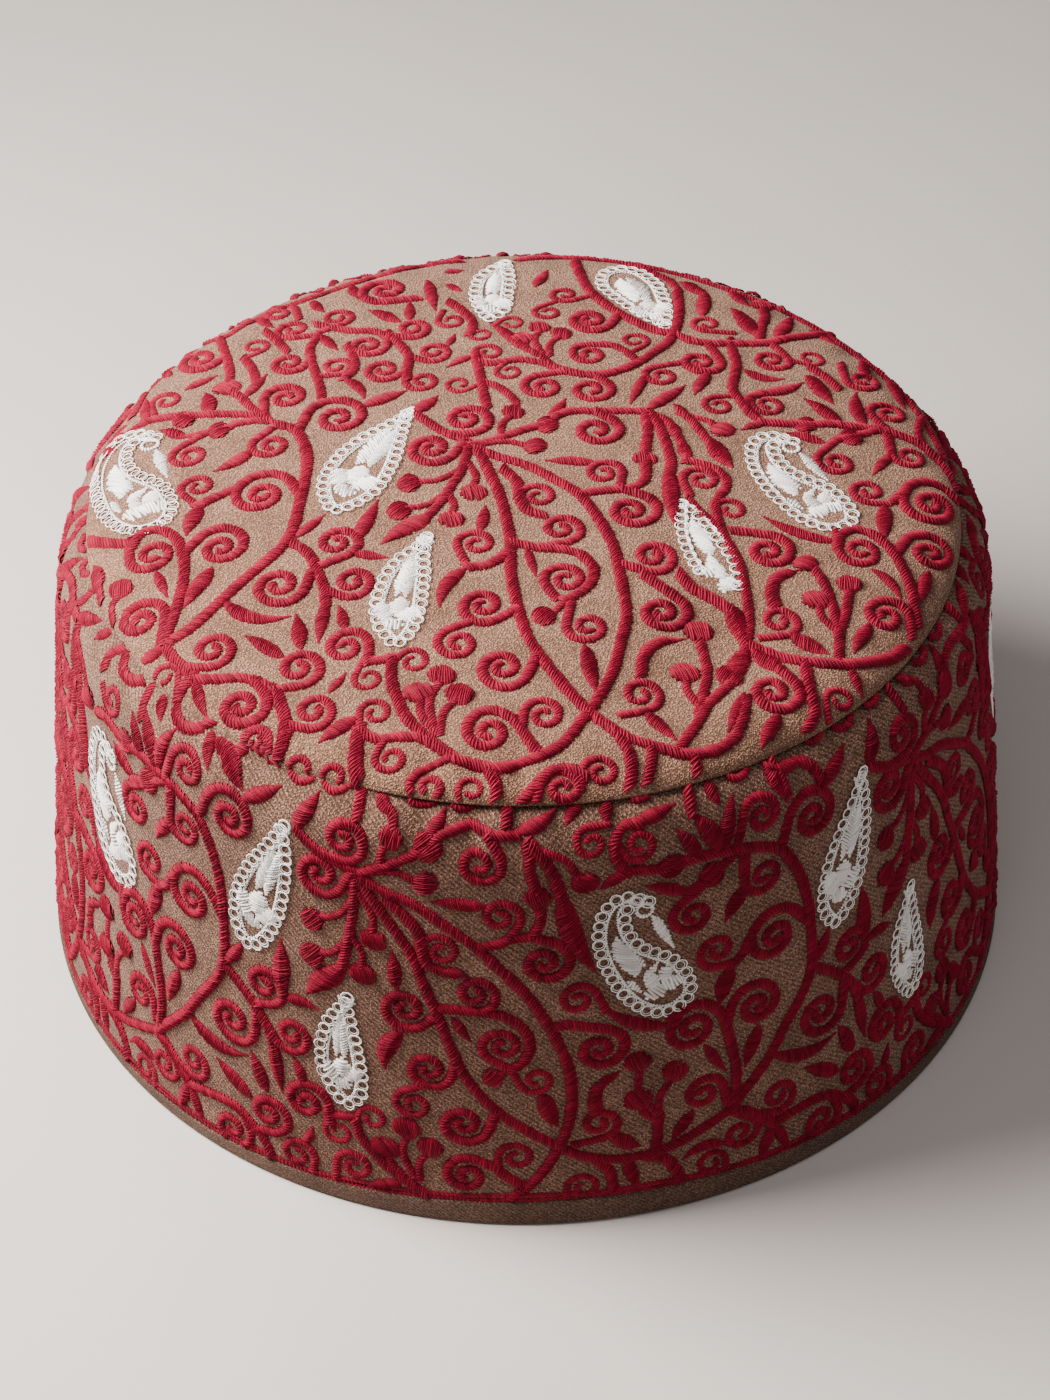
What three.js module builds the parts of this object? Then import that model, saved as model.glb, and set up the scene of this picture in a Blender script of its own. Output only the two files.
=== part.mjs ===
// A round topi cap of thick embroidered wool: a gently domed crown sewn to a tall, tapered side band,
// whose foot is finished with a plain binding. Inside it is hollow and open below, for a head.
// Units are millimetres and +Z is up. The origin is the centre of the foot, on the surface that the
// cap stands on, and the cap's front faces -Y.
import * as THREE from "three";

// Driving dimensions
const WALL_FOOT_RADIUS = 94.5; // outside of the side band at its foot
const WALL_TAPER_RADIUS = 86.6; // where the straight part of the wall would reach the seam's height
const WALL_BULGE = 0.35; // swell of the soft wall at mid height
const SEAM_RADIUS = 82; // ring where the crown is sewn to the side band
const SEAM_HEIGHT = 93.7;
const SHOULDER_START = 84; // height where the wall begins to curl in towards the seam
const SHOULDER_POWER = 2.8; // more keeps the wall straight for longer
const DOME_RISE = 9; // crown's middle above the seam
const DOME_POWER = 2.4; // 2 is a bowl, more is flatter in the middle
const CLOTH = 2.2; // thickness of the crown and of the side band
const SEW_GAP = 0.3; // clear space between two sewn pieces
const EDGE_DROP = 4; // the crown's edge rolls down to the seam by this much
const EDGE_REACH = 10; // over this width of cloth
const TOP_EDGE_ROUND = 0.9; // rounding of the side band's upper edge, under the crown

const BINDING_CLOTH = 0.9; // thickness of the strip that binds the foot
const BINDING_OUTER_LEG = 6; // its height outside, at the front
const BINDING_SIDE_LEG = 2.4; // its height outside round the sides and the back
const BINDING_FRONT_DEG = 8; // direction where it is highest, from the front towards +X
const BINDING_SPREAD_DEG = 37; // how far the high stretch reaches to each side
const BINDING_INNER_LEG = 8; // its height inside
const BINDING_ROUND = 0.9; // rounding of its lower corners
const PINCH = 0.6; // the binding squeezes the wall by this much on each face
const PINCH_FADE = 2; // height over which the wall swells out again above the binding

const SEGMENTS = 72; // facets round the cap
const DOME_RINGS = 9;
const ROLL_STEPS = 6;
const WALL_RINGS = 9;
const SHOULDER_RINGS = 5;

// Gathers where the seam draws the wall in: direction from the front (positive to the wearer's left,
// which is +X), half width round the cap, how far they reach down from the seam, and depth.
const GATHER_COLUMNS = ["directionDeg", "halfWidthDeg", "reach", "depth"];
const GATHERS = [
  [-31, 7, 14, 0.9],
  [-8, 6, 18, 0.8],
  [9, 6, 12, 0.5],
  [38, 8, 16, 0.7],
  [82, 9, 15, 0.7],
  [128, 8, 14, 0.6],
  [171, 9, 16, 0.8],
  [-142, 8, 14, 0.6],
  [-97, 9, 16, 0.7],
].map((row) => named(GATHER_COLUMNS, row));

// Shallow hollows in the soft crown: centre, radius and depth.
const DIMPLE_COLUMNS = ["x", "y", "radius", "depth"];
const DIMPLES = [
  [35, -46, 13, 1.3],
  [25, -61, 10, 0.9],
  [-38, -48, 16, 0.7],
  [-12, 40, 22, 0.6],
].map((row) => named(DIMPLE_COLUMNS, row));

function named(columns, row) {
  return Object.fromEntries(columns.map((column, i) => [column, row[i]]));
}

const clamp01 = (value) => Math.min(1, Math.max(0, value));
const smooth01 = (value) => THREE.MathUtils.smoothstep(value, 0, 1);

// The wall's outer radius at a height, before gathers: a slightly swollen taper that curls in at the
// shoulder.
function wallRadius(z) {
  const straight = THREE.MathUtils.lerp(WALL_FOOT_RADIUS, WALL_TAPER_RADIUS, z / SEAM_HEIGHT);
  const curl = clamp01((z - SHOULDER_START) / (SEAM_HEIGHT - SHOULDER_START)) ** SHOULDER_POWER;
  const bulge = WALL_BULGE * Math.sin((Math.PI * z) / SEAM_HEIGHT);
  return straight + bulge - (WALL_TAPER_RADIUS - SEAM_RADIUS) * curl;
}

// How far the binding squeezes each face of the wall at a height.
function pinch(z, legHeight) {
  return PINCH * (1 - smooth01((z - legHeight) / PINCH_FADE));
}

// Height of the binding's outer leg at a direction from the front.
function outerLeg(directionDeg) {
  const away = (directionDeg - BINDING_FRONT_DEG) / BINDING_SPREAD_DEG;
  return THREE.MathUtils.lerp(BINDING_SIDE_LEG, BINDING_OUTER_LEG, Math.exp(-(away ** 2)));
}

// Lowers a point at the binding from the full height of its outer leg to the height at its direction.
// What is at or below the fixed height stays where it is.
function lowerToLeg(point, fixedHeight) {
  const leg = outerLeg(directionOf(point));
  const share = clamp01((point.z - fixedHeight) / (BINDING_OUTER_LEG - fixedHeight));
  const height = point.z - share * (BINDING_OUTER_LEG - leg);
  const radius = Math.hypot(point.x, point.y);
  const scale = (radius + wallRadius(height) - wallRadius(point.z)) / radius;
  point.set(point.x * scale, point.y * scale, height);
}

// The crown's outer height at a radius, from its middle to its rolled edge.
function crownHeight(radius) {
  const dome = (DOME_RISE - EDGE_DROP) * (1 - (radius / SEAM_RADIUS) ** DOME_POWER);
  const pastRoll = clamp01((radius - (SEAM_RADIUS - EDGE_REACH)) / EDGE_REACH);
  return SEAM_HEIGHT + dome + EDGE_DROP * Math.sqrt(1 - pastRoll ** 2);
}

// Depth of all dimples at a point of the crown, fading out before its sewn edge.
function dimpleDepth(x, y) {
  const toEdge = clamp01((SEAM_RADIUS - Math.hypot(x, y)) / EDGE_REACH);
  const depth = DIMPLES.reduce(
    (sum, dimple) =>
      sum + dimple.depth * Math.exp(-(((x - dimple.x) ** 2 + (y - dimple.y) ** 2) / dimple.radius ** 2)),
    0,
  );
  return depth * smooth01(toEdge);
}

// Depth of all gathers at a direction from the front and a height on the wall.
function gatherDepth(directionDeg, z) {
  return GATHERS.reduce((sum, gather) => {
    const away = THREE.MathUtils.euclideanModulo(directionDeg - gather.directionDeg + 180, 360) - 180;
    const across = Math.exp(-((away / gather.halfWidthDeg) ** 2));
    const down = clamp01(1 - (SEAM_HEIGHT - z) / gather.reach);
    return sum + gather.depth * across * smooth01(down);
  }, 0);
}

// Direction of a point from the front, in degrees towards +X.
function directionOf(point) {
  return THREE.MathUtils.radToDeg(Math.atan2(point.x, -point.y));
}

// Turns a profile of (radius, height) points about +Z and faces it outwards.
function turned(profile) {
  return new THREE.LatheGeometry(profile, SEGMENTS).rotateX(Math.PI / 2);
}

// Moves each vertex of a geometry by the rule that it is given.
function reshape(geometry, move) {
  const position = geometry.getAttribute("position");
  const point = new THREE.Vector3();
  for (let i = 0; i < position.count; i++) {
    point.fromBufferAttribute(position, i);
    move(point);
    position.setXYZ(i, point.x, point.y, point.z);
  }
  geometry.computeVertexNormals();
  return geometry;
}

const at = (radius, height) => new THREE.Vector2(radius, height);
const evenly = (from, to, steps) =>
  Array.from({ length: steps + 1 }, (_, i) => THREE.MathUtils.lerp(from, to, i / steps));

// The crown: a domed disc whose edge rolls down and bears on the side band's upper edge.
function crownGeometry() {
  const rollInner = SEAM_RADIUS - EDGE_REACH;
  const rest = SEAM_HEIGHT + SEW_GAP / 2;
  const outer = evenly(0, rollInner, DOME_RINGS).map((r) => at(r, crownHeight(r)));
  const roll = evenly(0, 1, ROLL_STEPS)
    .slice(1)
    .map((share) => {
      const r = rollInner + EDGE_REACH * Math.sin((share * Math.PI) / 2);
      return at(r, Math.max(crownHeight(r), rest));
    });
  const under = evenly(SEAM_RADIUS - CLOTH, 0, DOME_RINGS).map((r) =>
    at(r, Math.max(crownHeight(r) - CLOTH, rest)),
  );
  const profile = [...outer, ...roll, ...under].reverse();
  return reshape(turned(profile), (point) => {
    point.z -= dimpleDepth(point.x, point.y);
  });
}

// The side band: a tall wall, squeezed by the binding at its foot and rounded off under the crown.
function sideBandGeometry() {
  const foot = BINDING_CLOTH + SEW_GAP;
  const rim = SEAM_HEIGHT - SEW_GAP / 2;
  const roundStart = rim - TOP_EDGE_ROUND;
  const swell = BINDING_OUTER_LEG + PINCH_FADE;
  const innerSwell = BINDING_INNER_LEG + PINCH_FADE;
  const outside = (z) => wallRadius(z) - pinch(z, BINDING_OUTER_LEG);
  const inside = (z) => wallRadius(z) - CLOTH + pinch(z, BINDING_INNER_LEG);
  const outer = [
    ...[foot, BINDING_OUTER_LEG, BINDING_OUTER_LEG + PINCH_FADE / 2],
    ...evenly(swell, SHOULDER_START, WALL_RINGS),
    ...evenly(SHOULDER_START, roundStart, SHOULDER_RINGS).slice(1),
  ].map((z) => at(outside(z), z));
  const edge = at(wallRadius(rim) - TOP_EDGE_ROUND, rim);
  const innerEdge = at(wallRadius(rim) - CLOTH, rim);
  const inner = [
    ...evenly(roundStart, SHOULDER_START, SHOULDER_RINGS - 2),
    ...evenly(SHOULDER_START, innerSwell, WALL_RINGS - 3).slice(1),
    ...[BINDING_INNER_LEG + PINCH_FADE / 2, BINDING_INNER_LEG, foot],
  ].map((z) => at(inside(z), z));
  const profile = [...outer, edge, innerEdge, ...inner, outer[0]];
  return reshape(turned(profile), (point) => {
    const onOutside = Math.hypot(point.x, point.y) > wallRadius(point.z) - CLOTH / 2;
    if (onOutside && point.z <= swell) lowerToLeg(point, foot);
    const radius = Math.hypot(point.x, point.y);
    const drawnIn = (radius - gatherDepth(directionOf(point), point.z)) / radius;
    point.x *= drawnIn;
    point.y *= drawnIn;
  });
}

// The binding: a strip folded over the wall's foot, with a flat underside to stand on.
function hemBindingGeometry() {
  const clearOfWall = SEW_GAP - PINCH;
  const outerFace = (z) => wallRadius(z) + clearOfWall + BINDING_CLOTH;
  const outerFold = (z) => wallRadius(z) + clearOfWall;
  const innerFold = (z) => wallRadius(z) - CLOTH - clearOfWall;
  const innerFace = (z) => innerFold(z) - BINDING_CLOTH;
  const halfCloth = BINDING_CLOTH / 2;
  const outerTop = BINDING_OUTER_LEG;
  const innerTop = BINDING_INNER_LEG;
  const profile = [
    at(outerFace(0) - BINDING_ROUND, 0),
    at(outerFace(0) - BINDING_ROUND * (1 - Math.SQRT1_2), BINDING_ROUND * (1 - Math.SQRT1_2)),
    at(outerFace(BINDING_ROUND), BINDING_ROUND),
    at(outerFace(outerTop / 2), outerTop / 2),
    at(outerFace(outerTop - halfCloth), outerTop - halfCloth),
    at(outerFace(outerTop) - halfCloth, outerTop),
    at(outerFold(outerTop - halfCloth), outerTop - halfCloth),
    at(outerFold(BINDING_CLOTH), BINDING_CLOTH),
    at(innerFold(BINDING_CLOTH), BINDING_CLOTH),
    at(innerFold(innerTop - halfCloth), innerTop - halfCloth),
    at(innerFace(innerTop) + halfCloth, innerTop),
    at(innerFace(innerTop - halfCloth), innerTop - halfCloth),
    at(innerFace(BINDING_ROUND), BINDING_ROUND),
    at(innerFace(0) + BINDING_ROUND * (1 - Math.SQRT1_2), BINDING_ROUND * (1 - Math.SQRT1_2)),
    at(innerFace(0) + BINDING_ROUND, 0),
  ];
  return reshape(turned([...profile, profile[0]]), (point) => {
    const onOutside = Math.hypot(point.x, point.y) > wallRadius(point.z) - CLOTH / 2;
    if (onOutside) lowerToLeg(point, BINDING_CLOTH);
  });
}

// Wool cloth in its own shade.
function wool(colour) {
  return new THREE.MeshStandardMaterial({ color: colour, roughness: 0.95, metalness: 0 });
}

function piece(name, geometry, material) {
  const mesh = new THREE.Mesh(geometry, material);
  mesh.name = name;
  return mesh;
}

const cap = new THREE.Group();
cap.name = "topi_cap";
cap.add(
  piece("crown", crownGeometry(), wool(0x9c8370)),
  piece("side_band", sideBandGeometry(), wool(0x8a715f)),
  piece("hem_binding", hemBindingGeometry(), wool(0x7d6857)),
);

export default cap;
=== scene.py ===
# %% [markdown]
# # An embroidered topi cap
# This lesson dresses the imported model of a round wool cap. The cloth is three sewn pieces: a domed crown, a
# tall side band and a binding round the foot. Red satin-stitched vines and white lace paisleys lie on it.
# Charts are drawn in millimetres on the flat cloth, and small functions lay them on the curved surface.

# %% Load the frame
import math

import bpy
import numpy as np
from mathutils import Matrix, Vector


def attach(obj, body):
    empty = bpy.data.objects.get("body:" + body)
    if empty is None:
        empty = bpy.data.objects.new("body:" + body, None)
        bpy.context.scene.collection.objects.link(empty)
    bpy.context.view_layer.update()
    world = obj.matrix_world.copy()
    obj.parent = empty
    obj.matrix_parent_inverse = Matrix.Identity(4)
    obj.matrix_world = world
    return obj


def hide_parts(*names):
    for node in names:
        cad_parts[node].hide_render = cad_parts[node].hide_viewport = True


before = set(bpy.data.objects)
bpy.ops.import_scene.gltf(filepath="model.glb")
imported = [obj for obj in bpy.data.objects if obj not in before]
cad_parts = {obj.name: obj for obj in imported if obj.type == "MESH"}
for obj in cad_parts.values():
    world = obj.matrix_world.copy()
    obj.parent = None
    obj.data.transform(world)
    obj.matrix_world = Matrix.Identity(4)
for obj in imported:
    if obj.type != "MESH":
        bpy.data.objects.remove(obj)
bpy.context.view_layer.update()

MM = 0.001

# %% [markdown]
# ## Camera
# The photograph was taken from in front and above with a long lens, so the cap hardly tapers with distance.
# The camera is set from a few measured values instead of being aimed by eye, so the charts below, which
# were read from the photograph, fall back on the same places.

# %% Set up the camera
CAMERA_PLACE = Vector((0.0, -589.9, 561.9)) * MM
CAMERA_PITCH = 0.7180
CAMERA_ROLL = -0.0088
FOCAL_PIXELS = 4000
PHOTO_HEIGHT_PIXELS = 1400
SENSOR = 36.0

forward = Vector((0, math.cos(CAMERA_PITCH), -math.sin(CAMERA_PITCH)))
level_right = Vector((1, 0, 0))
level_up = level_right.cross(forward)
right = math.cos(CAMERA_ROLL) * level_right + math.sin(CAMERA_ROLL) * level_up
up = math.cos(CAMERA_ROLL) * level_up - math.sin(CAMERA_ROLL) * level_right

lens = bpy.data.cameras.new("photo_camera")
lens.sensor_width = SENSOR
lens.lens = SENSOR * FOCAL_PIXELS / PHOTO_HEIGHT_PIXELS
camera = bpy.data.objects.new("photo_camera", lens)
camera.matrix_world = Matrix.Translation(CAMERA_PLACE) @ Matrix((right, up, -forward)).transposed().to_4x4()
bpy.context.scene.collection.objects.link(camera)
bpy.context.scene.camera = camera
print("Camera lens", round(lens.lens, 2), "mm")

# %% [markdown]
# ## The shape of the cloth
# The wall is a slightly swollen taper that curls in at the shoulder, and the crown is a flat dome with a
# rolled edge. The binding shows as a strip in front and dips to a narrow edge round the sides. These rules
# repeat the ones the solids were made by, so the dressed cap fits them. A rule also gives the cloth's place
# at any chart point, which is what the embroidery needs later, and a mesh shaped by hand wouldn't.

# %% Outline of the wall
WALL_FOOT_RADIUS = 94.5
WALL_TAPER_RADIUS = 86.6
WALL_BULGE = 0.35
SEAM_RADIUS = 82.0
SEAM_HEIGHT = 93.7
SHOULDER_START = 84.0
SHOULDER_POWER = 2.8
CLOTH = 2.2
SEW_GAP = 0.3


def smooth01(value):
    share = np.clip(value, 0, 1)
    return share * share * (3 - 2 * share)


def wall_radius(z):
    straight = WALL_FOOT_RADIUS + (WALL_TAPER_RADIUS - WALL_FOOT_RADIUS) * z / SEAM_HEIGHT
    curl = np.clip((z - SHOULDER_START) / (SEAM_HEIGHT - SHOULDER_START), 0, 1) ** SHOULDER_POWER
    bulge = WALL_BULGE * np.sin(math.pi * z / SEAM_HEIGHT)
    return straight + bulge - (WALL_TAPER_RADIUS - SEAM_RADIUS) * curl


print("Wall radius at the foot and at the seam", wall_radius(0.0), wall_radius(SEAM_HEIGHT))

# %% Height of the binding round the foot
BINDING_CLOTH = 0.9
BINDING_OUTER_LEG = 6.0
BINDING_SIDE_LEG = 2.4
BINDING_INNER_LEG = 8.0
BINDING_FRONT_DEGREES = 8
BINDING_SPREAD_DEGREES = 37
PINCH = 0.6
PINCH_FADE = 0.7


def degrees_from(middle, direction):
    return (np.degrees(direction) - middle + 180) % 360 - 180


def outer_leg(direction):
    high_share = np.exp(-((degrees_from(BINDING_FRONT_DEGREES, direction) / BINDING_SPREAD_DEGREES) ** 2))
    return BINDING_SIDE_LEG + (BINDING_OUTER_LEG - BINDING_SIDE_LEG) * high_share


def pinch(z, leg):
    return PINCH * (1 - smooth01((z - leg) / PINCH_FADE))


print("Binding height in front and at the back", outer_leg(0.0), outer_leg(math.pi))

# %% [markdown]
# Where the seam draws the wall in it makes gathers, and the soft crown sinks in dimples. Both are short
# tables. The fine puckers beside the seam are one ripple that is strong in a few stretches. They are only
# drawn here, because they are too fine for the solids.

# %% Gathers and puckers
# Direction from the front in degrees, half width in degrees, reach down from the seam, depth
GATHERS = [
    (-31, 7, 14, 0.9), (-8, 6, 18, 0.8), (9, 6, 12, 0.5), (38, 8, 16, 0.7), (82, 9, 15, 0.7),
    (128, 8, 14, 0.6), (171, 9, 16, 0.8), (-142, 8, 14, 0.6), (-97, 9, 16, 0.7),
]
PUCKER_COUNT = 52
PUCKER_REACH = 11.0
PUCKER_DEPTH = 1.5
PUCKER_SHARPNESS = 1.5
PUCKER_EVERYWHERE = 0.15
# Middle and half width in degrees of the stretches where the seam is most puckered
PUCKERED = [(-8, 14), (118, 20), (-150, 24)]
# Size in radians, number round the cap and start of the waves that space the puckers unevenly
PUCKER_WANDER = [(1.7, 3, 0.6), (1.1, 8, 0.0)]
# Middle, half width and fade in degrees of the stretch where the seam lies flat under the embroidery
FLAT_SEAM = (-48, 26, 10)


def within(stretch, direction):
    middle, half_width, fade = stretch
    return 1 - smooth01((np.abs(degrees_from(middle, direction)) - half_width) / fade)


def hump(middle, half_width, direction):
    return np.exp(-((degrees_from(middle, direction) / half_width) ** 2))


def pucker_ripple(direction):
    strength = PUCKER_EVERYWHERE * (1 - within(FLAT_SEAM, direction))
    for middle, half_width in PUCKERED:
        strength = strength + (1 - PUCKER_EVERYWHERE) * hump(middle, half_width, direction)
    wander = sum(size * np.sin(count * direction + start) for size, count, start in PUCKER_WANDER)
    return strength * (0.5 + 0.5 * np.cos(PUCKER_COUNT * direction + wander)) ** PUCKER_SHARPNESS


def gather_depth(direction, z):
    depth = np.zeros(np.broadcast(direction, z).shape)
    for middle, half_width, reach, deepest in GATHERS:
        depth += deepest * hump(middle, half_width, direction) * smooth01(1 - (SEAM_HEIGHT - z) / reach)
    near_seam = smooth01(1 - (SEAM_HEIGHT - z) / PUCKER_REACH)
    return depth + PUCKER_DEPTH * pucker_ripple(direction) * near_seam


print("Seam has", len(GATHERS), "gathers and", len(PUCKERED), "puckered stretches")

# %% Dome of the crown
DOME_RISE = 9.0
DOME_POWER = 2.4
EDGE_DROP = 4.0
EDGE_REACH = 10.0
# Centre x, centre y, radius, depth
DIMPLES = [(35, -46, 13, 1.3), (25, -61, 10, 0.9), (-38, -48, 16, 0.7), (-12, 40, 22, 0.6)]
PUCKER_END_POWER = 6


def crown_height(radius):
    dome = (DOME_RISE - EDGE_DROP) * (1 - (radius / SEAM_RADIUS) ** DOME_POWER)
    past_roll = np.clip((radius - (SEAM_RADIUS - EDGE_REACH)) / EDGE_REACH, 0, 1)
    return SEAM_HEIGHT + dome + EDGE_DROP * np.sqrt(1 - past_roll**2)


def dimple_depth(x, y):
    from_seam = SEAM_RADIUS - np.hypot(x, y)
    sunk = sum(deep * np.exp(-((x - cx) ** 2 + (y - cy) ** 2) / size**2) for cx, cy, size, deep in DIMPLES)
    near_seam = smooth01(1 - from_seam / PUCKER_REACH)
    ripple = pucker_ripple(np.arctan2(x, -y)) * near_seam * (1 - near_seam**PUCKER_END_POWER)
    return sunk * smooth01(from_seam / EDGE_REACH) + PUCKER_DEPTH * ripple


def crown_surface(x, y):
    return crown_height(np.hypot(x, y)) - dimple_depth(x, y)


print("Middle of the crown is", round(float(crown_surface(0.0, 0.0)), 1), "mm high")

# %% [markdown]
# ## Three maps from flat cloth to the cap
# Embroidery is planned flat. On the wall, `across` is measured round the cap and `upward` along the cloth
# from the foot, and the lower rows are stretched down to the binding where it dips. On the crown a chart
# point is simply seen from above. The third map runs over the crown's edge, with lengths measured from the
# seam. Each map gives the place and the direction that stands off the cloth, which the stitches need.

# %% Map for the wall
CHART_RADIUS = 90.0
FOOT_STRETCH = 60.0
TILT_REACH = 0.2
profile_z = np.linspace(0, SEAM_HEIGHT, 600)
profile_r = wall_radius(profile_z)
profile_length = np.concatenate([[0], np.cumsum(np.hypot(np.diff(profile_r), np.diff(profile_z)))])
WALL_LENGTH = profile_length[-1]


def round_the_cap(radius, direction, z):
    return np.stack([radius * np.sin(direction), -radius * np.cos(direction), z], -1)


def unit(vectors):
    return vectors / np.linalg.norm(vectors, axis=1, keepdims=True)


def on_wall(chart):
    direction = chart[:, 0] / CHART_RADIUS
    near_foot = np.clip(1 - (chart[:, 1] - BINDING_OUTER_LEG) / FOOT_STRETCH, 0, 1)
    upward = chart[:, 1] - near_foot * (BINDING_OUTER_LEG - outer_leg(direction))
    z = np.interp(upward, profile_length, profile_z)
    radius = wall_radius(z) - gather_depth(direction, z)
    slope = (wall_radius(z + TILT_REACH) - wall_radius(z - TILT_REACH)) / (2 * TILT_REACH)
    return round_the_cap(radius, direction, z), unit(round_the_cap(1, direction, -slope))


print("Cloth length up the wall", round(WALL_LENGTH, 1), "mm")


# %% Map for the crown
def on_crown(chart):
    x, y = chart[:, 0], chart[:, 1]
    tilt_x = (crown_surface(x + TILT_REACH, y) - crown_surface(x - TILT_REACH, y)) / (2 * TILT_REACH)
    tilt_y = (crown_surface(x, y + TILT_REACH) - crown_surface(x, y - TILT_REACH)) / (2 * TILT_REACH)
    outward = np.stack([-tilt_x, -tilt_y, np.ones_like(x)], 1)
    return np.stack([x, y, crown_surface(x, y)], 1), unit(outward)


print("Middle of the crown chart lies at", on_crown(np.zeros((1, 2)))[0])

# %% Map over the crown's edge
EDGE_BELOW = 30.0
EDGE_TILT_REACH = 0.8
edge_wall_z = np.linspace(SEAM_HEIGHT - EDGE_BELOW, SEAM_HEIGHT, 300)
edge_roll_r = SEAM_RADIUS - EDGE_REACH + EDGE_REACH * np.cos(np.linspace(0, math.pi / 2, 160))
edge_r = np.concatenate([wall_radius(edge_wall_z), edge_roll_r[1:], [SEAM_RADIUS - 2 * EDGE_REACH]])
edge_z = np.concatenate([edge_wall_z, crown_height(edge_roll_r[1:]), crown_height(edge_r[-1:])])
edge_length = np.concatenate([[0], np.cumsum(np.hypot(np.diff(edge_r), np.diff(edge_z)))])
edge_length -= edge_length[len(edge_wall_z) - 1]


def edge_profile(length):
    return np.interp(length, edge_length, edge_r), np.interp(length, edge_length, edge_z)


def on_edge(chart):
    direction, length = chart[:, 0] / SEAM_RADIUS, chart[:, 1]
    r_ahead, z_ahead = edge_profile(length + EDGE_TILT_REACH)
    r_behind, z_behind = edge_profile(length - EDGE_TILT_REACH)
    radius, z = edge_profile(length)
    place = round_the_cap(radius - gather_depth(direction, z) * (length < 0), direction, z)
    place[:, 2] -= dimple_depth(place[:, 0], place[:, 1]) * (length > 0)
    return place, unit(round_the_cap(z_ahead - z_behind, direction, r_behind - r_ahead))


print("Edge map reaches", round(-edge_length[0], 1), "mm below the seam")

# %% [markdown]
# ## Cloth pieces
# Each cloth piece is a closed profile carried round the axis, so it has an outer skin, an inner skin and
# real thickness. Blender's Screw modifier could carry it round too, but here every point still has to be
# moved by its own gathers, so the ring of quads is made in one go with array arithmetic. The wall and the
# binding also get a UV map that follows the cloth, for their diagonal weave.

# %% A ring of cloth from a closed profile
CLOTH_SEGMENTS = 320
segment_directions = np.arange(CLOTH_SEGMENTS) / CLOTH_SEGMENTS * 2 * math.pi


def evenly(start, end, steps):
    return np.linspace(start, end, steps + 1)


def new_piece(name, vertices, faces):
    mesh = bpy.data.meshes.new(name)
    mesh.from_pydata((np.asarray(vertices) * MM).tolist(), [], faces)
    mesh.validate()
    mesh.shade_smooth()
    piece = bpy.data.objects.new(name, mesh)
    bpy.context.scene.collection.objects.link(piece)
    return piece


def ring_of_cloth(name, profile, move):
    profile = np.asarray(profile)
    count = len(profile)
    radius = np.repeat(profile[None, :, 0], CLOTH_SEGMENTS, 0)
    height = np.repeat(profile[None, :, 1], CLOTH_SEGMENTS, 0)
    turn = np.repeat(segment_directions[:, None], count, 1)
    radius, height = move(radius, height, turn)
    step, row = np.meshgrid(np.arange(CLOTH_SEGMENTS), np.arange(count), indexing="ij")
    step, row = step.ravel(), row.ravel()
    here, beside = step * count, (step + 1) % CLOTH_SEGMENTS * count
    above = (row + 1) % count
    faces = np.stack([here + row, beside + row, beside + above, here + above], 1)
    piece = new_piece(name, round_the_cap(radius, turn, height).reshape(-1, 3), faces.tolist())
    closed_profile = np.vstack([profile, profile[:1]])
    along = np.concatenate([[0], np.cumsum(np.hypot(*np.diff(closed_profile, axis=0).T))])
    across = np.stack([step, step + 1, step + 1, step], 1) * (2 * math.pi * CHART_RADIUS / CLOTH_SEGMENTS)
    upward = np.stack([along[row], along[row], along[row + 1], along[row + 1]], 1)
    uv = piece.data.uv_layers.new(name="cloth")
    uv.data.foreach_set("uv", (np.stack([across, upward], -1) * MM).ravel())
    return piece


print("Cloth is cut into", CLOTH_SEGMENTS, "steps round the cap")

# %% [markdown]
# The side band is one strip of thick wool, closed into a tube. Its profile runs up the outer skin, over a
# rounded rim and down the inner skin, with closer rows where the shape turns most. On the left the
# embroidery covers the seam, so the rim's lip is filled out and raised against the crown there. On the
# right it is tucked under.

# %% Side band
BAND_RIM = SEAM_HEIGHT - SEW_GAP / 2
BAND_FOOT = BINDING_CLOTH + SEW_GAP
RIM_ROUND = 0.9
# Shares of the rounding by which the middle of the rim's corner lies inwards and down
RIM_CORNER = (0.25, 0.35)
# Height at the end of each stretch of rows, and how many rows it has
OUTER_ROWS = [(8.0, 22), (SHOULDER_START, 44), (BAND_RIM - RIM_ROUND, 26)]
INNER_ROWS = [(10.0, 30), (BAND_FOOT, 8)]
# Middle, half width and fade in degrees of the tucked stretch, and how far in and how far down it is tucked
TUCKED_SEAM = (45, 57, 12)
TUCK_DEPTH = 1.1
TUCK_REACH = 1.8
LIP_LOWEST = BAND_RIM - 0.9 * RIM_ROUND
LIP_INNERMOST = SEAM_RADIUS - 1.5 * RIM_ROUND
LIP_RADIUS = SEAM_RADIUS + 0.1
LIP_RISE = 2.5 * SEW_GAP


def row_heights(start, stretches):
    heights = [start]
    for end, count in stretches:
        heights += evenly(heights[-1], end, count)[1:].tolist()
    return heights


def outside(radius, height):
    return radius > wall_radius(height) - CLOTH / 2


def draw_in(radius, height, turn):
    squeezed = pinch(height, outer_leg(turn)) * outside(radius, height)
    lip = within(FLAT_SEAM, turn) * (height > LIP_LOWEST) * (radius > LIP_INNERMOST)
    filled = radius + lip * (LIP_RADIUS - radius)
    tucked = TUCK_DEPTH * within(TUCKED_SEAM, turn) * smooth01(1 - (BAND_RIM - height) / TUCK_REACH)
    drawn = squeezed + tucked + (1 - lip) * gather_depth(turn, height)
    return filled - drawn, height + LIP_RISE * lip


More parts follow.
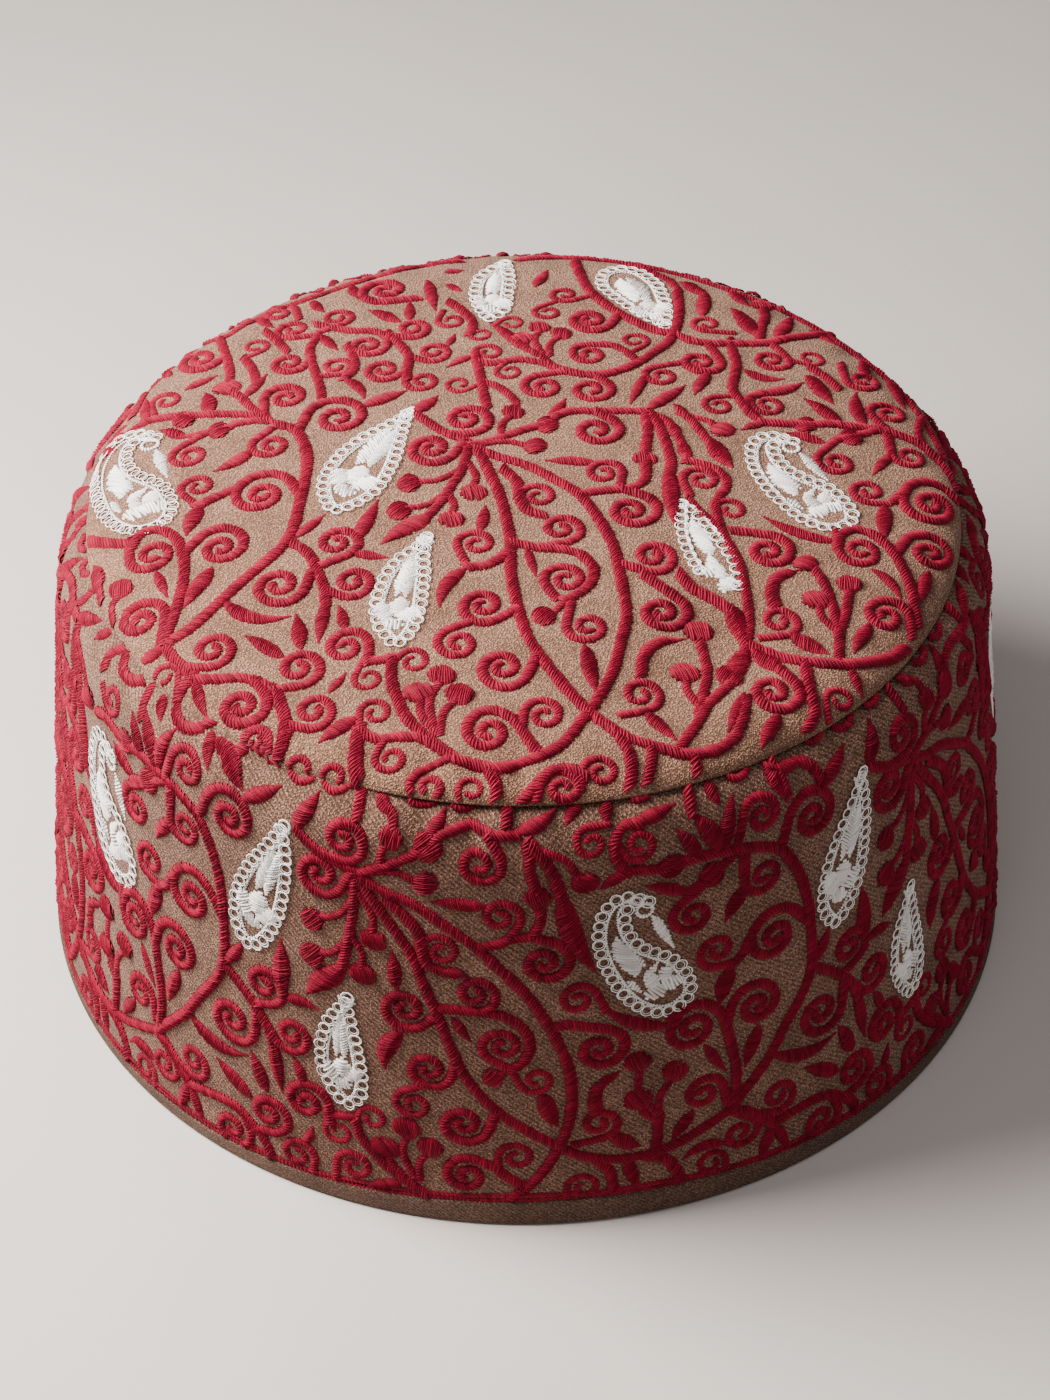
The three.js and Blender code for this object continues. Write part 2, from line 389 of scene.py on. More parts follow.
rim_radius = wall_radius(BAND_RIM)
outer_skin = [(wall_radius(z), z) for z in row_heights(BAND_FOOT, OUTER_ROWS)]
rim_corner = (rim_radius - RIM_CORNER[0] * RIM_ROUND, BAND_RIM - RIM_CORNER[1] * RIM_ROUND)
rim_top = [(rim_radius - RIM_ROUND, BAND_RIM), (rim_radius - CLOTH, BAND_RIM)]
inner_skin = [(wall_radius(z) - CLOTH + pinch(z, BINDING_INNER_LEG), z)
              for z in row_heights(BAND_RIM - RIM_ROUND, INNER_ROWS)]
side_band = ring_of_cloth("side_band_cloth", outer_skin + [rim_corner] + rim_top + inner_skin, draw_in)
print("Side band", len(side_band.data.polygons), "faces")

# %% [markdown]
# The binding is a strip of twill folded over the foot of the wall. Its profile is a tall U with rounded
# edges, a little inside the wall's own line, because the sewn strip squeezes the wool. Outside it dips
# towards the back.

# %% Hem binding
BIND_OUT = PINCH - SEW_GAP
BINDING_ROUND = 0.9
LEG_ROUND = 0.3
FOLD_BELOW = 0.4
LIP_CREEP = 0.1
OUTER_LIP, INNER_LIP = 0.65 * BINDING_CLOTH, 0.5 * BINDING_CLOTH


def outside_wall(z, off):
    return wall_radius(z) - BIND_OUT + off, z


def inside_wall(z, off):
    return wall_radius(z) - CLOTH + BIND_OUT - off, z


def foot_corner(middle_radius, start, end):
    angles = np.radians(evenly(start, end, 4))[1:-1]
    return [(middle_radius + BINDING_ROUND * math.cos(a), BINDING_ROUND + BINDING_ROUND * math.sin(a))
            for a in angles]


def dip_outside(radius, height, turn):
    share = np.clip((height - BINDING_CLOTH) / (BINDING_OUTER_LEG - BINDING_CLOTH), 0, 1)
    share = share * outside(radius, height)
    lowered = height - share * (BINDING_OUTER_LEG - outer_leg(turn))
    return radius + wall_radius(lowered) - wall_radius(height), lowered


outer_face = [outside_wall(z, BINDING_CLOTH) for z in evenly(BINDING_ROUND, BINDING_OUTER_LEG - LEG_ROUND, 8)]
outer_lip = [outside_wall(BINDING_OUTER_LEG, OUTER_LIP),
             (wall_radius(BINDING_OUTER_LEG) - PINCH + LIP_CREEP, BINDING_OUTER_LEG + LIP_CREEP)]
outer_fold = [outside_wall(z, 0) for z in (BINDING_OUTER_LEG - FOLD_BELOW, BINDING_CLOTH)]
inner_fold = [inside_wall(z, 0) for z in (BINDING_CLOTH, BINDING_INNER_LEG - FOLD_BELOW)]
inner_lip = [inside_wall(BINDING_INNER_LEG, INNER_LIP)]
inner_face = [inside_wall(z, BINDING_CLOTH) for z in evenly(BINDING_INNER_LEG - LEG_ROUND, BINDING_ROUND, 6)]
foot_outside, foot_inside = outer_face[0][0] - BINDING_ROUND, inner_face[-1][0] + BINDING_ROUND
outer_half = [(foot_outside, 0)] + foot_corner(foot_outside, -90, 0) + outer_face + outer_lip + outer_fold
inner_half = inner_fold + inner_lip + inner_face + foot_corner(foot_inside, 180, 270) + [(foot_inside, 0)]
hem_binding = ring_of_cloth("hem_binding_strip", outer_half + inner_half, dip_outside)
print("Hem binding", len(hem_binding.data.polygons), "faces")

# %% [markdown]
# The crown is a round panel. Its profile starts near the middle of the top skin, runs out over the roll and
# back under it, and two fans of triangles close the holes that are left at its poles.

# %% Crown
CROWN_RINGS = 60
ROLL_RINGS = 16
UNDER_RINGS = 30
POLE = 0.4
roll_inner = SEAM_RADIUS - EDGE_REACH
crown_rest = SEAM_HEIGHT + SEW_GAP / 2
roll_radii = [roll_inner + EDGE_REACH * math.sin(a) for a in evenly(0, math.pi / 2, ROLL_RINGS)[1:]]
top_skin = [(r, crown_height(r)) for r in evenly(POLE, roll_inner, CROWN_RINGS)]
roll = [(r, max(crown_height(r), crown_rest)) for r in roll_radii]
under_skin = [(r, max(crown_height(r) - CLOTH, crown_rest))
              for r in evenly(SEAM_RADIUS - CLOTH, POLE, UNDER_RINGS)]


def crown_of_cloth(profile):
    count = len(profile)
    rings = [round_the_cap(r, segment_directions, np.full(CLOTH_SEGMENTS, z)) for r, z in profile]
    points = np.concatenate(rings + [[(0, 0, profile[0][1])], [(0, 0, profile[-1][1])]])
    points[:, 2] -= dimple_depth(points[:, 0], points[:, 1])
    ring, step = np.meshgrid(np.arange(count - 1), np.arange(CLOTH_SEGMENTS), indexing="ij")
    ring, step = ring.ravel(), step.ravel()
    after = (step + 1) % CLOTH_SEGMENTS
    low, high = ring * CLOTH_SEGMENTS, (ring + 1) * CLOTH_SEGMENTS
    faces = np.stack([low + step, high + step, high + after, low + after], 1).tolist()
    top_pole, last = count * CLOTH_SEGMENTS, (count - 1) * CLOTH_SEGMENTS
    for start in range(CLOTH_SEGMENTS):
        end = (start + 1) % CLOTH_SEGMENTS
        faces.append((top_pole, start, end))
        faces.append((top_pole + 1, last + end, last + start))
    return new_piece("crown_cloth", points, faces)


crown = crown_of_cloth(top_skin + roll + under_skin)
print("Crown", len(crown.data.polygons), "faces")

# %% [markdown]
# ## The embroidery chart
# The vines were read from the photograph, flattened, and written down as an embroiderer would: a
# stem is a thread width and the points it passes, a scroll is where it leaves the stem, its centre, its
# radius and how many turns it winds inwards, a leaf is its base, tip, widest part and bend, and a bud is
# where its thin stalk starts, the middle of its head and the head's radius. Widths and places are
# millimetres. A row that ends in a comma goes on in the next.

# %% Crown chart
CROWN_STEMS = """
1.9: -10 9.5, -13 11.5, -16 14, -18.5 17, -20.5 19.3
1.9: -10 8.5, -6 9.8, -2 12, 1.5 13.8, 4.5 15, 7 18, 10 19.3, 14 19.2, 19 19.5, 23.5 19.5
2: -9 7.5, -4.5 4.7, 1.1 1.8, 6 -2.4, 10.5 -6.9, 14.2 -14.7, 16.5 -21.9, 17.3 -28, 18 -34, 18.3 -40,
17.2 -46, 15.6 -53, 13 -59, 10.5 -63.3, 6.7 -69, 2.5 -71.8, -3 -74, -8 -73.8, -13.5 -71.3
2: -9 7, -7.9 5.5, -6.4 .3, -4.9 -4.6, -3.8 -9.5, -3 -15, -2.4 -20.7, -2.4 -28, -1.8 -33.5, -.9 -39,
.6 -45, 3 -50, 6.5 -56, 10.5 -61.5, 14 -65, 18 -67.7, 23 -69.5, 28 -70.6, 33 -69.5, 36.5 -66.5,
38.2 -62, 38.9 -57.5
2.2: -3.8 1.2, -1.2 -3, -.6 -8, 1 -11.5, 4 -12.8
2: -2.4 -20.3, 2.6 -22, 7 -22.4, 10.5 -24, 12.6 -27.5, 12 -31.5, 9.5 -34.5, 7 -36
2.2: -3 -23, -4.5 -25, -7 -26.6, -10.5 -27
1.8: -10.3 8, -10.8 4.5, -11.6 .3, -13.2 -3.4, -15 -8, -17.5 -12.3
1.9: 10.5 -6.6, 14.2 -5.7, 18.4 -5
1.9: 19.5 -4.8, 21.5 -3.8, 22.8 -1.5, 23 1.7, 23.1 7.7, 23.7 13, 23.4 17, 23.7 19.6
2: 24.2 19, 25.6 15.5, 26.8 10.5, 27.7 4, 27.4 0
1.7: 24.5 18.6, 27 17, 28.7 14, 29.8 10, 31 6, 30.4 3.6
1.8: 30.4 4, 33 3.6, 36.5 1.6, 38 -2, 36.6 -5.8, 35.5 -8.5
1.8: 35.4 -8.5, 35.8 -12.5, 36.5 -16.5, 38 -21, 39.4 -25.5, 40 -31, 40.4 -37, 40.2 -42, 39.6 -45
1.4: 30.5 -7, 32.5 -10.5, 34.5 -13.5, 36.4 -16.3
2: 57.6 -17.5, 58.3 -14.5, 61.3 -12.3, 64.8 -13.5, 67.3 -16.5, 69 -20.5, 70.2 -25.5, 70.8 -31,
71.2 -36
2: 45 18, 50 18.1, 53.8 18.4, 57.5 19.4, 62 19.7, 68 19.7, 72.5 18.6, 76.5 16, 79.5 11.5, 81.3 6.5,
81.9 1
1.8: 67 19.3, 64.5 17.5, 62.3 16, 59.5 14.6
1.8: 69.2 18.8, 69.5 15.5, 69.6 12
2: 68.6 -3.2, 70.6 -.2, 72.5 3.2, 75.5 5, 78.7 4.2, 81.2 1.2
1.8: 29.5 20, 31.5 18, 33.5 14, 35.2 10.3
1.9: 45.2 18.5, 43 21.5, 43.3 25.5, 46 28
1.8: 76 16.5, 75.6 21, 76.3 25, 77.8 28
2: 31 66, 31.1 60, 30.9 55, 30 50, 28.6 45, 26 41, 22 36, 17.6 32.7, 13.5 31.6, 9 32.8, 6 34.5,
3.8 37.5
2: 10.8 79, 11.8 73, 13 67, 15 62, 18.5 56.5, 22.5 52, 26.3 49, 29.5 48
1.8: 5 35.5, 0 37.2, -3 36.6, -6 36, -8.3 36.6
1.8: -9.2 40, -8.6 35.5, -8 31, -7.6 27, -7 22.5, -6.6 20.5
1.6: -8 29.8, -5 28, -2.6 25, -1.2 22, -1.6 20.3
1.9: -26.3 48.5, -23.8 44.3, -22 39.5, -22.3 34.5, -22.2 31
1.9: -14.5 61, -11.8 57, -9.9 53, -9.7 49.5, -10.3 47
1.6: 22.3 37, 20.6 40, 18.2 42.4, 16 43.2
1.9: 40.5 47, 41 42.5, 41.5 38, 40.9 33, 40.4 28.5, 41.8 24.5, 43.5 20.8, 45 18.6
2: 30.5 47.5, 33.8 45.4, 38.5 45.2, 43 46, 47.5 47, 52.5 50, 57.8 52.8, 61 54
1.9: 46.4 47.5, 47 53, 48 58, 47.8 61
1.8: 55.5 39.5, 58.5 36.5, 61 32.5
1.9: -48 20.5, -51.5 22.8, -57.5 24.6, -63 25.6, -69 26.4, -72.5 26
1.7: -48.5 21, -52 25.8, -54.2 30, -56.6 33.5, -56.6 39, -57.7 46, -59.4 54
1.8: -51.3 34.5, -52.3 39.5, -54.2 44.6
1.7: -40 50, -41.3 45.5, -40.9 40.5, -39.9 35.5, -39 31, -38.4 26.5
1.8: -45.8 45, -48 50, -50.5 54.5
1.8: -34.5 32.5, -32.5 36, -32.8 40.5, -34 45.5
1.8: -48 20, -51 20.9, -54.5 20.5, -57.8 19.3, -60.8 18.6, -63.5 18.2
2.1: -47.6 19.4, -43.4 16.6, -41.4 12, -40.5 6, -40.8 0, -41.5 -6.5, -42.3 -13, -44 -18, -47 -22,
-51 -26.5, -56 -32.5, -60 -37, -64.5 -40
2: -54 -.5, -57.5 -2.3, -60.8 -4.3
2.2: -80.5 -8.8, -76.5 -10.6, -72.8 -11.9
2: -72.2 -13.5, -71 -10, -67.9 -9.2, -64.8 -11.5, -62.9 -15.5, -62 -21, -62.2 -27, -63.2 -33,
-64.6 -39.5
1.7: -78 -22, -77 -27, -75.8 -31.5
2: -42.4 -17.7, -39.8 -20.4, -38.3 -23.4, -37.6 -26, -36.2 -30.5, -35.7 -35.5
2: -64.4 -41, -61.8 -45, -58.8 -49.3
2.1: -58.5 -49.5, -54 -50.2, -50.1 -50.6, -46.8 -52.5, -44.1 -54.4, -43 -57.8, -42.1 -61.5, -42.6 -66,
-43.4 -69.4
1.9: -28.3 -49.6, -25.5 -49.4, -22.8 -48.8
2: -23.6 -49.5, -23.5 -54.5, -22.3 -59, -20.8 -62.8, -18.3 -66, -15 -69.5, -12.5 -71.8
2.4: -29 -64, -29.4 -68, -29.5 -73, -28.6 -76.6
2: -29 -65, -26 -67, -22 -66.9, -18.5 -67.3, -15.5 -69.3
2: -6.5 -74.3, -5.2 -77.5, -5.2 -81
1.9: 2.2 -71.2, 0 -67.5, -2 -64
2.2: 20.6 -54, 20.9 -50.5, 22.3 -47.3, 25 -45.3
2: 14.5 -65.3, 17 -68.5, 18.4 -73, 18 -78
1.8: 22 -69.7, 21.8 -73, 21 -77
2: -1 -81.5, 1.5 -78.5, 4.5 -75, 8 -74.6, 10.5 -76
2.4: 28 -28, 30.5 -32, 34.5 -34.8, 37.3 -37.5, 38.6 -41.5, 39.8 -45.5
2.4: 45.2 -35.5, 44.8 -31.5, 45.8 -28, 48 -26
2.2: 39.7 -45, 42 -46.3, 46.5 -47.7, 51.5 -48, 56.5 -47.6, 61 -46.5, 65.8 -44.4, 68.6 -41.5
1.8: 56 -47, 56.5 -40.5, 57.8 -35.5, 58.9 -29.5
1.8: 56.3 -41, 55.8 -35, 54.6 -28.5, 53 -24.8
2: 39.5 -46, 38.3 -50, 36.8 -54, 34.4 -57, 32 -60, 30.4 -63.5, 28.3 -67, 26.5 -70
1.8: 31.3 -45, 32 -49, 32.3 -53, 31.3 -58, 30.5 -61.5
2.2: 49.8 -48.2, 50.3 -54, 51 -59.5, 49.5 -63.5
2: 29.3 -70.8, 29.9 -74.5
1.6: -75.2 29, -72.2 40, -67.2 47.8, -62.5 53, -58.2 54.8, -54.8 58.5, -47.2 64.2, -41 67.5, -35 71.2,
-28.8 74.8
1.6: -28.8 74.8, -22.5 77.6, -16.2 79.4, -12.2 79.8
1.6: -.8 79.5, 3.2 80.6, 10.5 80.8, 17.5 79.8, 23 78.4, 27.8 76.5, 33.8 73.5, 40 69.8, 46 65.5,
52 61.5, 57 57
1.6: 57 57, 61 52.2, 65.8 46.5, 70.8 40, 74 33.8, 76.5 27.8, 78.6 20.8, 80.2 13.8
1.8: -40.8 55.2, -37.5 53, -33.5 51, -28.8 50, -25.5 46.5
1.6: 31.2 67, 29.8 71, 27.5 73.5, 24.5 76.4, 20.5 78.6
"""
CROWN_SCROLLS = """
-14 12 -10.8 17 4.8 1.6, -11 9.5 -17.2 8 4.7 -1.6, -.6 -8 2.8 -7.3 3.4 -1.2, 3 -21.8 6.7 -16.6 4 1.5
5.8 -35.5 7.6 -30.5 4 -1.4, -10.5 -26 -8.6 -20.6 3.6 -1.7, 17.8 -5.3 15 -.2 3.6 1.6
18.4 -5 19.8 -11.2 5.1 -1.9, 14 19.2 13.8 13.2 4.6 -1.35, 31 -6.5 33.3 -1.5 3.6 -1.3
35.6 -12 38.4 -10 3 -1.1, 38 -15.8 44.6 -20.8 4.5 -2, 57.5 -13.5 61.6 -18 4 1.4
59.5 14.7 59 7.3 3.7 2, 69.5 17.5 73 12.5 3.3 2, 68 -3.5 64.5 -.6 3.4 -1.9, 71.8 2.5 76 -1.8 5.3 2
68.3 -17.5 74.6 -16 5 -1.9, 41.2 26.5 37.6 22.6 3 1.9, 43.6 25.8 47 24.2 3.2 1.6
69.5 20 70.2 25.8 3.7 -1.8, -9 36 -6.5 40 2.9 -1.3, -3 36.4 -2.4 33 2.6 1.2, -8 29 -12.2 29 2.6 -1.7
-22.4 33 -19.2 30.6 3.3 1.9, -21.8 39.5 -17.4 41 3.5 1.9, -22.6 34 -26.8 35.2 3.7 -1.9
-26.3 49.5 -30.2 44.8 3.9 -1.8, -26 48.3 -21.6 50.4 3.6 1.5, -15.5 57 -13.8 53 2.7 1.4
-9.8 50 -8 47.3 2.3 .9, -5.5 50.5 -2 51.2 2.3 -1.2, 6.5 60 5.3 55.6 2.8 1.7, 13.8 63 8.6 63.3 3 -1.6
19 55 13.4 52.6 4.4 -1.9, 20.5 39.5 21.8 44.8 2.7 1.6, 17 42.8 13.2 39.2 3.7 1.9
8.5 32.9 4.2 27.6 4 1.4, 14 31.6 13 26.6 4.1 -1.35, 30.5 37 27 32 3.4 1.4
36.5 44.5 34.4 37.8 4.2 -1.7, 41.5 50 36.4 53 3 -1.5, 49 46.5 48.2 40.6 3.7 -1.5, 52 41 56 43 2.6 1.2
62 42 66 37 3.6 1.3, -70.5 27.5 -68.5 32.2 3 -1.6, -54 44.5 -52.3 48.5 2.6 1.3
-49.3 22 -45.4 27.8 4.2 -1.9, -41 42 -45.3 40.6 3.7 -1.8, -40.2 50.5 -44.8 53.8 3.5 -1.5
-39.6 34.5 -36.2 37.6 3.2 1.8, -39.8 51.5 -36.6 57 3.2 1.4, -20.5 63 -27 67.5 5.2 -1.6
-58 46 -63 46.5 4.2 -1.5, -44 58 -48 61.5 3.4 1.5, -60.5 18.6 -62.8 12.3 3.6 2.2
-46.5 18.9 -47.5 12.3 3.8 2.1, -42.6 16 -35.2 19.4 6.2 -1.7, -41.2 -5 -48.8 -2.9 6.3 2.1
-60.5 -4 -60.7 1.8 3.3 -1.9, -62.2 -17 -55.6 -16.8 5.4 -1.9, -72.8 -11 -68.2 -16 4.2 1.35
-65.2 -40 -69.3 -33 4.6 1.7, -37 -24.6 -34.3 -18.6 4.2 1.9, -36 -31 -31.2 -29.4 4 1.9
-38.5 -25.5 -44.4 -28.7 5 -1.5, -60 -46.5 -56 -43 4.1 1.8, -62 -52 -64.3 -47.6 2.6 1.3
-47.5 -51.8 -50 -57 4.6 -1.9, -45 -54.2 -40.3 -49.7 4.3 1.9, -27.8 -50 -31.8 -45.8 4.1 2
-28.8 -49.6 -27.6 -53.4 2.6 1.5, -23.5 -50 -19.8 -50.2 2.8 -1.4, -29 -65 -26.2 -61.5 2.9 -1.4
-24.5 -67.2 -23.3 -71.3 2.9 1.2, -42.3 -62 -37.3 -59.8 3.9 1.8, -45 -69 -47.6 -64.8 2.8 1.3
-13.5 -72 -16.8 -77.6 3.4 1.5, -11.5 -81 -9.4 -78.6 2.3 -1.2, -1.2 -38 -7.3 -37 4.4 -2.1
-9.5 -41 -11.7 -46.2 3.9 1.9, 2.2 -49.5 -3.9 -52.2 4.8 -2.1, -.6 -66.5 3.3 -63.2 3.6 -1.7
-1.8 -64.2 -6.3 -66.6 4.7 1.75, 8.4 -36.5 11.3 -42.4 3.8 2, 21.5 -28.8 24.7 -38.4 4.7 -1.7
17.3 -26 23.4 -23.8 4.3 2.1, 16.5 -63 20.2 -58.2 3.7 1.8, 9.5 -79 13 -75.2 3.2 -1.3
1.5 -82 6.3 -78.5 3.9 -1.4, 42 -43.4 45.6 -38.8 3.6 2, 69.8 -39 65.3 -34.6 4.4 2
43.5 -48.5 43.8 -55.7 4.7 -2, 53.5 -61 55.8 -56.2 2.7 -1.1
"""
CROWN_LEAVES = """
-20.5 19.3 -16.3 25 2.6 0, 5 16 8.2 23.3 2.2 0, .5 -22 2.2 -29.5 1.6 0, -7.8 -17 -7 -10 2.2 0
-10.5 -27 -15.2 -37 2.6 -1.2, -17 -11.8 -26 -19.6 3.6 0, 14 3 4.3 3.6 2.2 0, 23.8 20 31.3 29 2.6 0
27 2 28 -15.5 3 0, 28.3 15.5 29.4 11 2.2 0, 29.8 10 30.8 4.5 2.2 0, 58 -16.3 44.5 -11.3 2.2 1.5
63.5 -22.8 68.3 -29.8 1.8 1, 46 18.2 41.5 15 2 0, 57 13.3 50.3 15.2 2.2 0, 69.6 12.3 65.7 5 2 0
67 -4 66.5 -14 2.8 0, 74 -21 71.5 -30.5 2.4 0, 34.8 11 39.2 2.8 3.4 0, 31.5 18 29 22.3 1.8 0
45 27.6 54 33.3 2.4 -1, 61 20 54.2 27.5 2.6 0, 65.5 20.5 64.3 32 2.4 1, 24 33 20.6 22 2 0
35.8 34 33 26 2.4 0, 35.7 56 36.5 68 2.6 0, 46.3 50 41.5 60.5 3.2 0, 49.8 49 53.5 60 2.6 0
43 36 50.5 34 2 -1.5, 55 36 59.5 27 3 0, 2 39.5 -6.3 52 2.2 0, -14.4 43 -13.2 47.3 1.5 0
-9.8 39.2 -14.5 35.2 1.8 0, -22 54 -22.2 61.5 2 0, -24 53.5 -30 59 2.4 0, -71 26.3 -75.5 24.3 1.6 0
-59.5 25.5 -61 33 3 0, -72 26.5 -73 35 2.2 0, -65 35.5 -59.3 39 1.8 0, -53.3 29.5 -49.5 37 2 0
-39.5 50 -36 44 2 0, -34.5 32.5 -30.3 25.5 2 1, -64 18.5 -69 22.2 2.4 0, -51.2 11.8 -58 6 2.6 1
-30.5 22.5 -22.3 27.3 2.6 0, -60.3 -3.8 -62.2 -12 3 0, -57 -22 -61.5 -31.5 3 0
-67.3 -20.8 -64.8 -28 1.8 0, -77.5 -23 -79.3 -16 3 0, -41.8 -16.3 -36.8 -10.5 2 0
-30.8 -19 -27 -7.3 2.6 0, -31.5 -21.8 -25 -23.5 2 0, -35.8 -34 -36.8 -44 2.2 0
-64.8 -40.5 -69.2 -44 2.4 0, -54.3 -31 -42.2 -37 2.6 -2.5, -43 -46.8 -49.8 -40.8 2.6 0
-39.8 -45.3 -41 -36.8 2.6 0, -32 -41.5 -33.3 -35.5 2 0, -29.3 -61.8 -36 -66.7 2.8 0
-34.5 -56 -31.8 -52 1.6 0, 10.6 -47 12.5 -58 2.6 0, 24 -45.6 28.5 -44.8 1.4 0
20.8 -62 26.2 -67.7 2.2 0, 37 -36 39.8 -45.5 3.4 0, 47.5 -42.3 54 -45.5 3 0, 46 -27.7 49.5 -25.5 1.8 0
62 -37 58.8 -44.5 2.4 0, 39.3 -46 36 -56 3.6 0, 40.2 -46.3 46 -51 3.4 0, 44.5 -60.5 41.3 -68 2.6 0
38.6 -56.5 35.5 -65.3 2 0, 57.8 -48.3 60 -54.5 1.8 0, -18.8 71 -17 57.5 2.2 0, -52.5 60.5 -49 55.8 2 0
-41.8 65.2 -39.2 60.2 2 0, -34.2 71 -32.5 65 2 0, -15.2 74.5 -11.8 75.2 1.8 0
-14.8 68.5 -12 65.5 1.6 0, 2.8 66.8 5.2 74.5 2.2 0, 32 70.8 37.2 64.8 2.4 0, 41.5 67.8 45 62.5 2.2 0
57 54.5 61.5 50.2 2 0, 66.2 44.8 67 37 2.2 0, 71.2 38.5 73.8 29.2 2.2 0
"""
CROWN_BUDS = """
1.5 13.8 4.6 14.6 2.3, -4 11 -1.8 19 2.1, -9 8.5 2.4 7.9 2.2, -11.6 1.2 -21.2 -2.7 2.3
-14 -5.5 -22.9 -10.6 2.4, -14.2 -5.5 -13.3 -13.6 2.3, -10.8 4 -9.2 -5.9 2.4, 23 1.7 22.8 4.4 2.2
50 18.1 53.8 18.3 2.3, 64.5 17.5 62.3 16 2.3, 31 18.6 37.9 14.5 2.3, 3 39 0 45.1 2.2, 4 39 3.4 49.5 2
5.3 38.5 7.7 47 2, 47.9 60 47.6 63 2.2, -63 25.6 -64.7 24.5 2.4, -54.2 30 -57 33.8 2.5
-54.5 20.5 -57.8 19.1 2.3, -74.5 -33 -73.5 -23.8 2.2, -15.5 -66.5 -18.8 -57.4 2.6
-16 -65.3 -14.7 -53.6 2.4, -14.9 -66.8 -11.5 -58.1 2.5, 7 -36.5 3.5 -40 2.2, 56.2 -40 52.6 -32.6 2.5
58.9 -29.5 59 -27.4 2.2, 53 -24.5 51.3 -23.4 2.2, 38.3 -50 36.2 -53 2.4, 31.5 -46 31.1 -42.8 2.6
30.5 -60 28.3 -52.9 2.5
"""
print("Crown chart has", CROWN_STEMS.count(":"), "stems")

# %% Wall chart, one repeat
WALL_REPEATS = 5
WALL_STEMS = """
2.1: 16.2 81.2, 19 82.2, 23 81.6, 26.4 81.6, 30 82, 34.4 82, 38.5 81.4, 43 80.3, 47.5 78, 50.2 74.3,
52.4 69, 53.8 62.6, 54.4 55, 54.4 49, 53.2 44.6, 51 40.8, 48 36.2, 45 31, 41.8 27, 38.4 23.2, 37 20.6
1.9: -31 79.8, -35 80.6, -38.8 82.2, -41.5 83.8, -43.3 85.2
1.9: -30.5 79.7, -27 81.6, -23.5 83.6, -20 85.8, -17.5 88, -15 90.2, -10.5 91.3, -6 90.6, -1.5 90.3
1.5: -24.5 90, -25 92.5, -27.5 94.5
2: -30 78.6, -26 76.6, -20.3 74.8, -14 70.4, -9 66.4, -3 59.6, .3 55.2, 3.5 49, 5.5 44, 7 39, 7.7 33.5,
7.5 28, 6.7 23.5, 5 18.5, 2.5 13.5, 0 10, -3 7
2: -30.6 78.4, -28.5 75, -25.5 70.7, -22.5 66.3, -20.3 62.3, -18.6 57, -16.8 52.4, -15.2 47.5,
-13.6 42.5, -11.5 37, -8 31.3, -4 26.7, .5 23, 5.5 19.3, 9.5 16.6, 15 15, 21 14.9, 26 16, 31 18.2,
37 21.2
1.9: -31.2 79, -31.5 75, -31.8 70, -32.4 65.5, -33.2 61, -33.8 57.5
2.2: -26 75.3, -22.5 72.3, -19.6 68.8, -18.9 65, -18 62, -15 60.5, -11.5 60.6
2: -16.3 52, -12.5 52, -7.5 51.8, -4 50.9, -1 48.4, .3 44.8, -.5 41, -3 38.4
1.9: -8.9 66.5, -6 67.3, -2.8 68.8, .5 69.3
1.9: 1 69.6, 2.4 73, 2.2 78, .8 82.5, .5 86.5, .2 89.8
2.2: .8 89, 3.5 85.5, 5.3 81, 6.4 77
1.9: 18 82.2, 16.2 85, 16 88.3, 18 90.8, 21 91.2
1.9: 39 80.8, 36.8 79.3, 34 77.5, 31 75.8, 29 74.6
1.8: 40.3 80.6, 40.2 77, 40.4 73.5
1.9: 31 91, 31.3 95.5
2: -55 87, -55.8 90.5, -58.5 92.8, -62 93, -65 94.5
2: 41.2 60.5, 39.8 57.5, 37 55.3
2: 26.2 44.5, 27.4 47.6, 30.3 48.8, 33.8 47.2, 35.8 43.5, 37 38, 38 32, 38.1 27, 37.3 21.5
2: 22.6 15.3, 23 19, 23.3 24
2.4: 11.9 27.6, 11.8 31.5, 12.8 34.2
2: 4 48.3, 7 48.7
2: -.5 9.8, -3.5 11.8, -6 14.6
2: 11.5 15.6, 14.3 12, 15 6.5
2.2: 20.5 14.6, 24.5 12.8, 26.5 9.5, 27.3 6.5
2.2: 37.2 20.8, 40 19.5, 43 16.8, 45.2 14.6
2.1: -68 14, -63 14.9, -58.5 15.4, -55 14.6, -52 12.2, -49.8 10, -48 6
2: -58.3 47.5, -55 44.8, -52 42, -49.6 38.8, -48 35
1.9: -37 21.9, -34.3 22.4, -31.3 22.8
2.1: -31.4 22.5, -30.6 18.8, -28.3 15.5, -25.3 12.2, -22 9.6, -18.5 6.8
1.8: -31.6 90, -32 96
1.8: -3.7 92, -3.5 96
1.8: 50.4 88, 49.8 93, 49.2 96
"""
